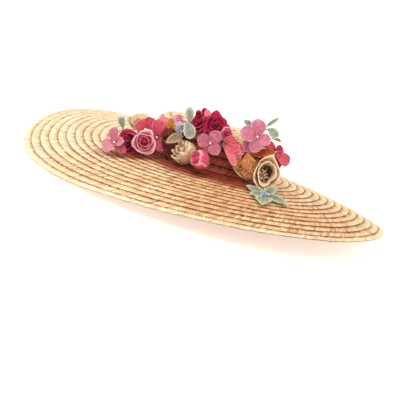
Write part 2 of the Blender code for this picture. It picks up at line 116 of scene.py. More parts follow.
class Bench:
    """Node tree of one material, with short calls that add and wire its nodes."""

    def __init__(self, name: str) -> None:
        """Start a material.

        Args:
            name: Name of the material.
        """
        self.material = bpy.data.materials.new(name)
        self.material.use_nodes = True
        self.tree = self.material.node_tree
        self.shader = self.tree.nodes["Principled BSDF"]

    def put(self, socket: bpy.types.NodeSocket, value: object) -> None:
        """Give a socket a plain value or wire another socket to it.

        Args:
            socket: Input that receives the value.
            value: Output socket, number, colour or vector.
        """
        if isinstance(value, bpy.types.NodeSocket):
            self.tree.links.new(value, socket)
        elif isinstance(value, (tuple, list)) and socket.type == "RGBA" and len(value) == 3:
            socket.default_value = (*value, 1)
        else:
            socket.default_value = value

    def node(self, kind: str, inputs: dict | None = None, **settings: object) -> bpy.types.Node:
        """Add a node.

        Args:
            kind: Node type, without its common prefix.
            inputs: Values for its inputs, by name or number.
            settings: Properties of the node.

        Returns:
            The node.
        """
        made = self.tree.nodes.new("ShaderNode" + kind)
        for key, value in settings.items():
            setattr(made, key, value)
        for key, value in (inputs or {}).items():
            self.put(made.inputs[key], value)
        return made

    def carried(self, name: str) -> bpy.types.NodeSocket:
        """Number that the mesh carries under a name."""
        return self.node("Attribute", attribute_name=name).outputs["Fac"]

    def place(self) -> bpy.types.NodeSocket:
        """Position in the hat's own frame."""
        return self.node("TexCoord").outputs["Object"]

    def axes(self, vector: bpy.types.NodeSocket) -> Sequence[bpy.types.NodeSocket]:
        """X, Y and Z of a vector."""
        return self.node("SeparateXYZ", {0: vector}).outputs

    def join(self, x: object, y: object, z: object = 0.0) -> bpy.types.NodeSocket:
        """Vector from three numbers."""
        return self.node("CombineXYZ", {0: x, 1: y, 2: z}).outputs[0]

    def sum(self, operation: str, *values: object) -> bpy.types.NodeSocket:
        """Arithmetic on one to three numbers.

        Args:
            operation: Name of the arithmetic.
            values: The numbers, or sockets with them.

        Returns:
            The result's socket.
        """
        return self.node("Math", dict(enumerate(values)), operation=operation).outputs[0]

    def span(self, value: object, low: float, high: float, start: float = 0.0,
             end: float = 1.0) -> bpy.types.NodeSocket:
        """Ease a number from one range to another.

        Args:
            value: Number to ease.
            low: Where the ease starts.
            high: Where it ends.
            start: Result at low.
            end: Result at high.

        Returns:
            The result's socket.
        """
        inputs = {0: value, 1: low, 2: high, 3: start, 4: end}
        return self.node("MapRange", inputs, interpolation_type="SMOOTHSTEP").outputs[0]

    def mix(self, share: object, first: object, second: object,
            blend: str = "MIX") -> bpy.types.NodeSocket:
        """Blend two colours.

        Args:
            share: How much of the second.
            first: First colour.
            second: Second colour.
            blend: Way of blending.

        Returns:
            The blended colour's socket.
        """
        made = self.node("Mix", data_type="RGBA", blend_type=blend)
        self.put(made.inputs[0], share)
        self.put(made.inputs[6], first)
        self.put(made.inputs[7], second)
        return made.outputs[2]

    def noise(self, scale: float, detail: float, vector: object = None) -> bpy.types.NodeSocket:
        """Cloudy number from 0 to 1.

        Args:
            scale: Clouds in a metre, or in a unit of the vector.
            detail: Octaves.
            vector: Position, or the hat's own frame.

        Returns:
            The number's socket.
        """
        inputs = {"Vector": vector or self.place(), "Scale": scale, "Detail": detail}
        return self.node("TexNoise", inputs).outputs["Fac"]

    def chance(self, vector: bpy.types.NodeSocket) -> bpy.types.NodeSocket:
        """Random number from 0 to 1 for each whole vector."""
        return self.node("TexWhiteNoise", {"Vector": vector}).outputs["Value"]

    def relief(self, height: bpy.types.NodeSocket, depth: float, strength: float) -> None:
        """Raise the surface by a height.

        Args:
            height: Height from 0 to 1.
            depth: Metres between 0 and 1.
            strength: How strongly it shows.
        """
        inputs = {"Height": height, "Distance": depth, "Strength": strength}
        bump = self.node("Bump", inputs)
        self.put(self.shader.inputs["Normal"], bump.outputs[0])

    def finish(self, colour: object, **levels: object) -> bpy.types.Material:
        """Set the shader and return the material.

        Args:
            colour: Base colour.
            levels: Shader inputs by name, with underscores for spaces.

        Returns:
            The material.
        """
        self.put(self.shader.inputs["Base Color"], colour)
        for name, value in levels.items():
            self.put(self.shader.inputs[name.replace("_", " ")], value)
        return self.material


@dataclass(frozen=True)
class StrawFinish:
    """Natural straw braid, pale to peach, each strand its own shade; painted shade in its grooves, where
    rows tuck, warm towards the front and red under the flowers.
    """

    pale: Colour = screen(247, 228, 195)
    gold: Colour = screen(248, 216, 168)
    peach: Colour = screen(236, 178, 124)
    fleck: Colour = screen(182, 124, 74)
    # Painted shadow under each row's free edge and on that edge's face.
    tuck: Colour = screen(74, 36, 15)
    # Painted shade in the grooves between strands and under the rows.
    groove: Colour = screen(128, 74, 38)
    # Painted shadow colour under the flowers, reddened for their bounce light; multiplied into the straw.
    shade: Colour = screen(172, 92, 74)
    # Where and how far the painted warm shade spreads, towards the front middle.
    warm_shade_middle: tuple[float, float, float] = (0.06, -0.15, 0.0)
    warm_shade_weights: tuple[float, float, float] = (3.9, 6.0, 0.0)
    first_row: float = 1.5
    rim_share: float = 0.42
    spot_share: float = 0.55
    blotch_scale: float = 15.0
    flower_shadow_scale: float = 60.0
    fibre_scale: float = 2.2
    fibre_height: float = 0.12 * MM

    def reach(self, bench: Bench, middle: Sequence[float], shape: Sequence[float]) -> bpy.types.NodeSocket:
        """Distance from a middle, with each axis weighed.

        Args:
            bench: Bench of the material.
            middle: Point to measure from.
            shape: Weight of each axis.

        Returns:
            The distance's socket.
        """
        away = bench.node("VectorMath", {0: bench.place(), 1: middle}, operation="SUBTRACT")
        wide = bench.node("VectorMath", {0: away.outputs[0], 1: shape}, operation="MULTIPLY")
        return bench.node("VectorMath", {0: wide.outputs[0]}, operation="LENGTH").outputs["Value"]

    def make(self) -> bpy.types.Material:
        """Build the straw's material.

        Returns:
            The material.
        """
        bench = Bench("straw_braid")
        phase, across = bench.carried("phase"), bench.carried("across")
        row, edge = bench.carried("row"), bench.carried("edge")
        half = bench.sum("GREATER_THAN", across, 0.5)
        shifted = bench.sum("MULTIPLY_ADD", half, 0.5, phase)
        strand = bench.sum("FLOOR", shifted)
        luck = bench.chance(bench.join(strand, row, half))
        other = bench.chance(bench.join(strand, row, 7.0))
        stretch = bench.noise(0.42, 2.0, bench.join(phase, bench.sum("MULTIPLY", row, 9.7)))
        # Painted warm shade and flower bounce light, strongest at the front middle.
        warm = bench.span(self.reach(bench, self.warm_shade_middle, self.warm_shade_weights), 1.35, 0.15)
        # Painted shade lines and the straw's dark strand flecks show more where the warm shade is.
        shade_strength = bench.sum("MULTIPLY_ADD", warm, 0.7, 0.4)
        patches = bench.noise(self.blotch_scale, 3.0)
        # Random blotches of the straw's tone, plus the painted warm shade.
        blotch_and_warm_shade = bench.sum("MULTIPLY_ADD", patches, 0.9, bench.sum("MULTIPLY", warm, 0.62))
        drift = bench.sum("MULTIPLY_ADD", luck, 0.42, bench.sum("SUBTRACT", blotch_and_warm_shade, 0.33))
        body = bench.mix(bench.span(drift, 0.0, 0.5), self.pale, self.gold)
        body = bench.mix(bench.span(drift, 0.45, 1.1), body, self.peach)
        spotted = bench.sum("MULTIPLY", bench.span(other, 0.66, 0.82), shade_strength)
        body = bench.mix(bench.sum("MULTIPLY", spotted, self.spot_share), body, self.fleck)
        part = bench.sum("FRACT", shifted)
        side = bench.sum("ABSOLUTE", bench.sum("MULTIPLY_ADD", part, 2.0, -1.0))
        # Painted shade in the grooves between strands and down the middle of the row.
        strand_groove_shade = bench.span(side, 0.6, 1.0, 0.0, 0.5)
        middle = bench.span(bench.sum("ABSOLUTE", bench.sum("SUBTRACT", across, 0.5)), 0.08, 0.0, 0.0, 0.7)
        groove_shade = bench.sum("MULTIPLY", bench.sum("MAXIMUM", strand_groove_shade, middle), shade_strength)
        body = bench.mix(groove_shade, body, self.groove)
        rim = bench.sum("LESS_THAN", row, self.first_row)
        body = bench.mix(bench.sum("MULTIPLY", rim, self.rim_share), body, self.pale)
        # Painted shadow line cast by the row above, broken into dashes.
        broken_shadow_line = bench.sum("MULTIPLY_ADD", luck, -0.16, bench.sum("MULTIPLY_ADD", stretch, -0.26, across))
        wide = bench.sum("MULTIPLY", bench.span(broken_shadow_line, 0.32, 0.02), shade_strength)
        body = bench.mix(wide, body, self.groove)
        shadow_core = bench.sum("MULTIPLY", bench.span(broken_shadow_line, 0.12, -0.06), shade_strength)
        body = bench.mix(shadow_core, body, self.tuck)
        # Painted shade on the face of each row's free edge.
        lip_shadow = bench.sum("MULTIPLY_ADD", luck, 0.35, bench.sum("MULTIPLY_ADD", stretch, 0.5, edge))
        body = bench.mix(bench.sum("MULTIPLY", bench.span(lip_shadow, 0.45, 1.0), shade_strength), body, self.tuck)
        # Painted shadow and red bounce light under the flowers, with a cloudy edge.
        cloud = bench.sum("SUBTRACT", bench.noise(self.flower_shadow_scale, 3.0), 0.5)
        flower_shadow = bench.sum("MULTIPLY_ADD", cloud, 0.5, bench.carried("dye"))
        body = bench.mix(bench.span(flower_shadow, 0.0, 1.0), body, self.shade, "MULTIPLY")
        fibre = bench.join(bench.sum("MULTIPLY", phase, 1.6), bench.sum("MULTIPLY", across, 30.0), row)
        bench.relief(bench.noise(self.fibre_scale, 3.0, fibre), self.fibre_height, 0.6)
        return bench.finish(body, Roughness=0.62, Specular_IOR_Level=0.3)


@dataclass(frozen=True)
class SilkFinish:
    """Tinted silk or velvet petals: heart to edge, mottled like watercolour, with faint veins.

    A mesh's tint goes from -1, as pale as the edge, through 0 to 1, the other shade.
    """

    name: str
    heart: Colour
    body: Colour
    edge: Colour
    other: Colour
    mottle: float = 0.3
    vein: float = 0.25
    edge_from: float = 0.82
    heart_to: float = 0.62
    roughness: float = 0.75
    sheen: float = 0.0
    cloud_scale: float = 300.0
    speck_scale: float = 1300.0
    weave_scale: float = 5200.0
    weave_height: float = 0.12 * MM
    vein_count: float = 7.0
    vein_slant: float = 2.2

    def make(self) -> bpy.types.Material:
        """Build the silk's material.

        Returns:
            The material.
        """
        bench = Bench(self.name)
        along, across = bench.carried("along"), bench.carried("across")
        tint = bench.carried("tint")
        side = bench.sum("ABSOLUTE", across)
        cloud = bench.noise(self.cloud_scale, 3.0)
        body = bench.mix(bench.sum("MAXIMUM", tint, 0.0), self.body, self.other)
        body = bench.mix(bench.sum("MAXIMUM", bench.sum("MULTIPLY", tint, -1.0), 0.0), body, self.edge)
        inward = bench.sum("MULTIPLY_ADD", cloud, 0.3, along)
        body = bench.mix(bench.span(inward, self.heart_to, self.heart_to - 0.5), body, self.heart)
        rim = bench.sum("MAXIMUM", along, bench.sum("MULTIPLY", side, 0.97))
        ragged = bench.sum("MULTIPLY_ADD", cloud, 0.12, rim)
        share = bench.span(tint, 0.0, 0.8, 1.0, 0.15)
        body = bench.mix(bench.span(cloud, 0.46, 0.7, 0.0, self.mottle), body, self.edge)
        body = bench.mix(bench.span(cloud, 0.46, 0.26, 0.0, self.mottle), body, self.heart)
        edge = bench.sum("MULTIPLY", share, bench.span(ragged, self.edge_from, 1.06))
        body = bench.mix(edge, body, self.edge)
        speck = bench.noise(self.speck_scale, 2.0)
        fleck = bench.sum("MULTIPLY", share, bench.span(speck, 0.42, 0.72, 0.0, self.mottle))
        body = bench.mix(fleck, body, self.edge)
        counted = bench.sum("MULTIPLY", along, self.vein_count)
        lines = bench.sum("MULTIPLY_ADD", side, -self.vein_slant, counted)
        wave = bench.sum("ABSOLUTE", bench.sum("SINE", bench.sum("MULTIPLY", lines, math.pi)))
        veins = bench.sum("MAXIMUM", bench.span(wave, 0.22, 0.0), bench.span(side, 0.09, 0.02))
        body = bench.mix(bench.sum("MULTIPLY", veins, self.vein), body, self.heart)
        cloth = bench.sum("MULTIPLY_ADD", bench.noise(self.weave_scale, 1.0), 0.5, veins)
        bench.relief(cloth, self.weave_height, 0.45)
        return bench.finish(body, Roughness=self.roughness, Sheen_Weight=self.sheen,
                            Sheen_Tint=(*self.edge, 1), Specular_IOR_Level=0.2)


@dataclass(frozen=True)
class LeafFinish:
    """Cloth or plush leaf: body, pale edge, veins and a dusting of nap."""

    name: str
    body: Colour
    other: Colour
    edge: Colour
    vein: Colour
    edge_from: float = 0.78
    nap: float = 0.5
    roughness: float = 0.8
    root: float = 0.0
    cloud_scale: float = 260.0
    margin_scale: float = 900.0
    nap_scale: float = 3600.0
    nap_height: float = 0.2 * MM

    def make(self) -> bpy.types.Material:
        """Build the leaf's material.

        Returns:
            The material.
        """
        bench = Bench(self.name)
        along, across = bench.carried("along"), bench.carried("across")
        side = bench.sum("ABSOLUTE", across)
        cloud = bench.noise(self.cloud_scale, 3.0)
        body = bench.mix(bench.span(cloud, 0.38, 0.66), self.body, self.other)
        inward = bench.sum("MULTIPLY_ADD", cloud, 0.3, along)
        body = bench.mix(bench.span(inward, 0.55, 0.2, 0.0, self.root), body, self.vein)
        rim = bench.sum("MAXIMUM", bench.sum("MULTIPLY", along, 0.94), side)
        ragged = bench.sum("MULTIPLY_ADD", bench.noise(self.margin_scale, 2.0), 0.2, rim)
        body = bench.mix(bench.span(ragged, self.edge_from, 1.08), body, self.edge)
        lines = bench.sum("MULTIPLY_ADD", side, -LEAF_VEIN_SLANT, bench.sum("MULTIPLY", along, LEAF_VEINS))
        wave = bench.sum("ABSOLUTE", bench.sum("SINE", bench.sum("MULTIPLY", lines, math.pi)))
        veins = bench.sum("MAXIMUM", bench.span(wave, 0.28, 0.0, 0.0, 0.6), bench.span(side, 0.12, 0.03))
        body = bench.mix(bench.sum("MULTIPLY", veins, 0.55), body, self.vein)
        nap = bench.noise(self.nap_scale, 2.0)
        body = bench.mix(bench.span(nap, 0.5, 0.8, 0.0, self.nap), body, self.edge)
        bench.relief(bench.sum("MULTIPLY_ADD", nap, 0.8, veins), self.nap_height, 0.6)
        return bench.finish(body, Roughness=self.roughness, Sheen_Weight=self.nap,
                            Specular_IOR_Level=0.2)


@dataclass(frozen=True)
class BeadFinish:
    """Lacquered berry, bead or pearl, with a bloom of dust over its gloss."""

    name: str
    body: Colour
    bloom: Colour
    roughness: float = 0.3
    dust_scale: float = 900.0
    pit_scale: float = 1600.0
    pit_depth: float = 0.05 * MM

    def make(self) -> bpy.types.Material:
        """Build the bead's material.

        Returns:
            The material.
        """
        bench = Bench(self.name)
        dust = bench.noise(self.dust_scale, 2.0)
        body = bench.mix(bench.span(dust, 0.42, 0.68), self.body, self.bloom)
        rough = bench.span(dust, 0.4, 0.7, self.roughness, self.roughness + 0.25)
        bench.relief(bench.noise(self.pit_scale, 1.0), self.pit_depth, 0.4)
        return bench.finish(body, Roughness=rough, Coat_Weight=0.3)


@dataclass(frozen=True)
class TapeFinish:
    """Paper tape wound round a wire: a dull colour with slanting turns."""

    name: str
    body: Colour
    dark: Colour
    climb: float = 2400.0
    lean: float = 1400.0
    grain_scale: float = 1300.0

    def make(self) -> bpy.types.Material:
        """Build the tape's material.

        Returns:
            The material.
        """
        bench = Bench(self.name)
        x, _, z = bench.axes(bench.place())
        wound = bench.sum("MULTIPLY_ADD", z, self.climb, bench.sum("MULTIPLY", x, self.lean))
        turns = bench.span(bench.sum("SINE", wound), -0.2, 0.9)
        grain = bench.noise(self.grain_scale, 2.0)
        body = bench.mix(bench.sum("MULTIPLY", turns, grain), self.body, self.dark)
        bench.relief(turns, 0.1 * MM, 0.5)
        return bench.finish(body, Roughness=0.85)


@dataclass(frozen=True)
class NetFinish:
    """Metallic copper net: warm thread, with glints painted in as lighter flecks."""

    name: str
    body: Colour
    glint: Colour
    fleck_scale: float = 700.0
    crumple_scale: float = 2600.0

    def make(self) -> bpy.types.Material:
        """Build the net's material.

        Returns:
            The material.
        """
        bench = Bench(self.name)
        fleck = bench.noise(self.fleck_scale, 3.0)
        # Lighter flecks: painted glints.
        body = bench.mix(bench.span(fleck, 0.42, 0.64), self.body, self.glint)
        bench.relief(bench.noise(self.crumple_scale, 1.0), 0.1 * MM, 0.6)
        return bench.finish(body, Roughness=0.42, Metallic=0.35)


@dataclass(frozen=True)
class StudioFinish:
    """Pale translucent sweep of the studio, lit from behind as well."""

    colour: Colour = (0.86, 0.86, 0.86)
    glow: float = 0.46

    def make(self) -> bpy.types.Material:
        """Build the floor's material.

        Returns:
            The material.
        """
        bench = Bench("studio_paper")
        tone = bench.noise(3.0, 1.0)
        body = bench.mix(bench.span(tone, 0.3, 0.7), self.colour, tuple(c * 0.995 for c in self.colour))
        return bench.finish(body, Roughness=0.9, Specular_IOR_Level=0.1,
                            Emission_Color=(1, 1, 1, 1), Emission_Strength=self.glow)


PINK_SILK = SilkFinish("pink_silk", screen(158, 60, 82), screen(181, 100, 115), screen(220, 156, 168),
                       screen(152, 60, 76), edge_from=0.88)
CORAL_SILK = SilkFinish("coral_silk", screen(140, 22, 44), screen(190, 68, 84), screen(224, 136, 144),
                        screen(166, 34, 62), mottle=0.2, edge_from=0.88)
LILAC_SILK = SilkFinish("lilac_silk", screen(180, 100, 130), screen(204, 164, 186), screen(228, 196, 208),
                        screen(204, 76, 106))
BURGUNDY_VELVET = SilkFinish("burgundy_velvet", screen(48, 0, 12), screen(112, 5, 29), screen(212, 74, 108),
                             screen(188, 28, 76), mottle=0.08, vein=0.15, edge_from=0.92, sheen=0.1)
ROSE_SILK = SilkFinish("rose_silk", screen(206, 34, 86), screen(174, 52, 68), screen(248, 184, 192),
                       screen(222, 52, 100), mottle=0.14, vein=0.1, edge_from=0.84, heart_to=0.62)
CREAM_SILK = SilkFinish("cream_silk", screen(170, 102, 64), screen(190, 144, 102), screen(240, 216, 180),
                        screen(206, 122, 84), mottle=0.3, vein=0.12, edge_from=0.88, heart_to=0.45)
TAUPE_SILK = SilkFinish("taupe_silk", screen(62, 28, 12), screen(206, 166, 118), screen(248, 214, 178),
                        screen(72, 34, 14), mottle=0.2, vein=0.15, edge_from=0.9, heart_to=0.8)
SAGE_LEAF = LeafFinish("sage_leaf", screen(148, 154, 126), screen(122, 132, 102), screen(192, 194, 170),
                       screen(98, 112, 82))
CLUSTER_LEAF = LeafFinish("cluster_leaf", screen(138, 144, 108), screen(90, 110, 72),
                          screen(194, 192, 154), screen(36, 60, 32), edge_from=0.62, nap=0.35, root=0.9)
SILVER_PLUSH = LeafFinish("silver_plush", screen(152, 149, 130), screen(126, 125, 106),
                          screen(212, 206, 188), screen(102, 102, 84), nap=0.4)
GREY_PLUSH = LeafFinish("grey_plush", screen(148, 124, 94), screen(114, 94, 68), screen(190, 166, 130),
                        screen(88, 70, 46), nap=0.35)
OCHRE_LEAF = LeafFinish("ochre_leaf", screen(194, 128, 48), screen(172, 98, 30), screen(208, 150, 80),
                        screen(150, 84, 22), nap=0.1, edge_from=0.95)
ORANGE_LEAF = LeafFinish("orange_leaf", screen(148, 48, 16), screen(184, 96, 34), screen(188, 110, 48),
                         screen(104, 26, 10), nap=0.1, edge_from=0.95)
TAN_LEAF = LeafFinish("tan_leaf", screen(196, 140, 102), screen(170, 108, 74), screen(232, 192, 152),
                      screen(118, 66, 42), edge_from=0.62, nap=0.3)
RUSSET_LEAF = LeafFinish("russet_leaf", screen(118, 46, 22), screen(94, 30, 20), screen(140, 72, 36),
                         screen(70, 20, 14), nap=0.1, edge_from=0.95)
# Near-black blade colour that stands in for the shade between and under the flowers: painted shade.
SHADE_FILLER_LEAF = LeafFinish("umber_leaf", screen(98, 36, 28), screen(68, 18, 14), screen(130, 62, 44),
                        screen(34, 4, 8), nap=0.08, edge_from=0.95)
COPPER_NET = NetFinish("copper_net", screen(206, 128, 68), screen(240, 188, 130))
COPPER_GAUZE = NetFinish("copper_gauze", screen(150, 82, 42), screen(208, 136, 82))
PEARL = BeadFinish("pearl", screen(240, 190, 194), screen(255, 232, 228), 0.22)
BERRY = BeadFinish("blue_berry", screen(118, 128, 149), screen(212, 217, 226), 0.35)
STAMEN = BeadFinish("stamen_bead", screen(236, 178, 138), screen(252, 224, 200), 0.35)
TAPE = TapeFinish("stem_tape", screen(84, 34, 24), screen(44, 14, 10))
KNOT = TapeFinish("straw_knot", screen(244, 210, 160), screen(200, 150, 96))


@dataclass
class Workshop:
    """Points and faces gathered into one mesh, with the numbers that its finish reads."""

    points: list[Array] = field(default_factory=list)
    faces: list[Array] = field(default_factory=list)
    along: list[Array] = field(default_factory=list)
    across: list[Array] = field(default_factory=list)
    tint: list[Array] = field(default_factory=list)
    count: int = 0

    def skin(self, grid: Array, along: Array, across: Array, tint: float = 0.0,
             ring: bool = False) -> int:
        """Add a skin of quads over a grid of points.

        Args:
            grid: Points, with across first and along second.
            along: Number from 0 to 1 along the petal at each point.
            across: Number from -1 to 1 across the petal at each point.
            tint: Shade of the whole skin.
            ring: Whether the first and last lines across meet.

        Returns:
            Number of the skin's first point.
        """
        wide, long = grid.shape[:2]
        number = np.arange(wide * long).reshape(wide, long) + self.count
        near = np.vstack([number, number[:1]]) if ring else number
        quads = np.stack([near[:-1, :-1], near[1:, :-1], near[1:, 1:], near[:-1, 1:]], -1)
        self.faces.append(quads.reshape(-1, 4))
        self.points.append(grid.reshape(-1, 3))
        self.along.append(np.broadcast_to(along, (wide, long)).ravel())
        self.across.append(np.broadcast_to(across, (wide, long)).ravel())
        self.tint.append(np.full(wide * long, tint))
        first = self.count
        self.count += wide * long
        return first

    def flip(self) -> None:
        """Turn the last faces over."""
        self.faces[-1] = self.faces[-1][:, ::-1]

    def sheet(self, grid: Array, thickness: float, along: Array, across: Array,
              tint: float = 0.0) -> None:
        """Add a closed thin body on both sides of a grid of points.

        Args:
            grid: Middle points, with across first and along second.
            thickness: Cloth's thickness.
            along: Number from 0 to 1 along the petal at each point.
            across: Number from -1 to 1 across the petal at each point.
            tint: Shade of the whole sheet.
        """
        wide, long = grid.shape[:2]
        normal = np.cross(np.gradient(grid, axis=0), np.gradient(grid, axis=1))
        size = np.linalg.norm(normal, axis=-1, keepdims=True)
        normal = normal / np.maximum(size, 1e-12)
        front = self.skin(grid + normal * thickness / 2, along, across, tint)
        back = self.skin(grid - normal * thickness / 2, along, across, tint)
        self.flip()
        number = np.arange(wide * long).reshape(wide, long)
        edge = np.concatenate([number[:, 0], number[-1, 1:], number[-2::-1, -1], number[0, -2:0:-1]])
        after = np.roll(edge, -1)
        self.faces.append(np.stack([edge + front, edge + back, after + back, after + front], -1))

    def tube(self, path: Array, radius: Array, sides: int = 8) -> None:
        """Add a closed round tube along a path.

        Args:
            path: Points of its middle line.
            radius: Radius at each point.
            sides: Points round it.
        """
        forward = np.gradient(path, axis=0)
        forward /= np.linalg.norm(forward, axis=1, keepdims=True)
        guide = np.array([1.0, 0, 0]) if abs(forward[0][0]) < 0.8 else np.array([0, 1.0, 0])
        side = np.cross(forward, guide)
        side /= np.linalg.norm(side, axis=1, keepdims=True)
        other = np.cross(forward, side)
        turn = np.linspace(0, 2 * math.pi, sides, endpoint=False)[:, None, None]
        radii = np.asarray(radius, float)[None, :, None] * np.ones(len(path))[None, :, None]
        grid = path[None] + (np.cos(turn) * side[None] + np.sin(turn) * other[None]) * radii
        along = np.linspace(0, 1, len(path))[None]
        first = self.skin(grid, along, np.zeros((sides, 1)), ring=True)
        self.flip()
        for end, order in ((0, 1), (len(path) - 1, -1)):
            rim = first + np.arange(sides) * len(path) + end
            self.points.append(path[end][None])
            for values, value in ((self.along, end / (len(path) - 1)), (self.across, 0), (self.tint, 0)):
                values.append(np.array([value]))
            hub = np.full(sides, self.count)
            fan = np.stack([rim, np.roll(rim, -1), hub, hub], -1)
            self.faces.append(fan[:, ::order])
            self.count += 1

    def ball(self, centre: Sequence[float], radius: float, sides: int = 14, dimple: float = 0.0) -> None:
        """Add a closed ball.

        Args:
            centre: Its middle.
            radius: Its radius.
            sides: Points round it.
            dimple: Depth of the dip at its top, as a share of the radius.
        """
        turn = np.linspace(0, 2 * math.pi, sides, endpoint=False)[:, None]
        fall = np.linspace(0.02, math.pi - 0.02, sides // 2 + 2)[None]
        dip = 1 - dimple * np.exp(-(fall / 0.45) ** 2)
        grid = np.stack([np.cos(turn) * np.sin(fall) * dip, np.sin(turn) * np.sin(fall) * dip,
                         np.cos(fall) * dip * np.ones_like(turn)], -1) * radius + np.array(centre)
        self.skin(grid, fall / math.pi, np.zeros((sides, 1)), ring=True)
        self.flip()

    def moved(self, matrix: Matrix) -> "Workshop":
        """Carry all points by a matrix.

        Args:
            matrix: Where the local axes go.

        Returns:
            This workshop.
        """
        turn = np.array(matrix.to_3x3())
        shift = np.array(matrix.translation)
        self.points = [points @ turn.T + shift for points in self.points]
        return self

    def piece(self, name: str, finish: object, slot: str, replaces: Sequence[str] = ()) -> None:
        """Make the piece, dress it and let it ride.

        Args:
            name: Name of the piece.
            finish: Finish of its surface.
            slot: Slot of the record, handed on to dress.
            replaces: Solids that it stands for.
        """
        values = {"along": self.along, "across": self.across, "tint": self.tint}
        made = mesh_piece(name, np.concatenate(self.points), np.concatenate(self.faces),
                          {key: np.concatenate(value) for key, value in values.items()})
        dress(made, finish, slot, replaces)


def mesh_piece(name: str, points: Array, quads: Array, values: dict[str, Array]) -> bpy.types.Object:
    """Make a mesh object from points, quads and numbers.

    Args:
        name: Name of the object.
        points: Points in metres.
        quads: Four point numbers a face. A face that repeats its first or last one is a triangle.
        values: Numbers by name, one for each point or for each corner of a face.

    Returns:
        The object.
    """
    first, last = quads[:, 0] == quads[:, 1], quads[:, 2] == quads[:, 3]
    sizes = np.where(first | last, 3, 4)
    keep = np.ones(quads.shape, bool)
    keep[first, 0] = False
    keep[last, 3] = False
    mesh = bpy.data.meshes.new(name)
    mesh.vertices.add(len(points))
    mesh.vertices.foreach_set("co", points.astype(np.float32).ravel())
    corners = quads[keep]
    mesh.loops.add(len(corners))
    mesh.loops.foreach_set("vertex_index", corners.astype(np.int32))
    mesh.polygons.add(len(quads))
    mesh.polygons.foreach_set("loop_start", (np.cumsum(sizes) - sizes).astype(np.int32))
    mesh.update(calc_edges=True)
    for key, value in values.items():
        domain = "POINT" if value.ndim == 1 else "CORNER"
        layer = mesh.attributes.new(key, "FLOAT", domain)
        layer.data.foreach_set("value", value.astype(np.float32).ravel())
    mesh.shade_smooth()
    made = bpy.data.objects.new(name, mesh)
    bpy.context.scene.collection.objects.link(made)
    return made


MADE: dict[str, bpy.types.Material] = {}


def dress(piece: bpy.types.Object, finish: object, slot: str, replaces: Sequence[str]) -> None:
    """Give a piece its finish and its body.

    Args:
        piece: The piece.
        finish: Finish of its surface.
        slot: Slot of the record; not used.
        replaces: Solids that it stands for.
    """
    key = getattr(finish, "name", type(finish).__name__)
    if key not in MADE:
        MADE[key] = finish.make()
    piece.data.materials.append(MADE[key])
    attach(piece, BODY)
    if replaces:
        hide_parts(*replaces)
    log.info("%s: %d faces", piece.name, len(piece.data.polygons))


@dataclass(frozen=True)
class Mark:
    """Point of the plait's cross-section.

    Its place is a share of the width, its depth a share of the thickness and its relief a share
    of the ridge. Strands is 0 on the inner set of strands and 0.5 on the outer one.
    """

    place: float
    depth: float
    relief: float
    strands: float
    shade: float
    edge: float


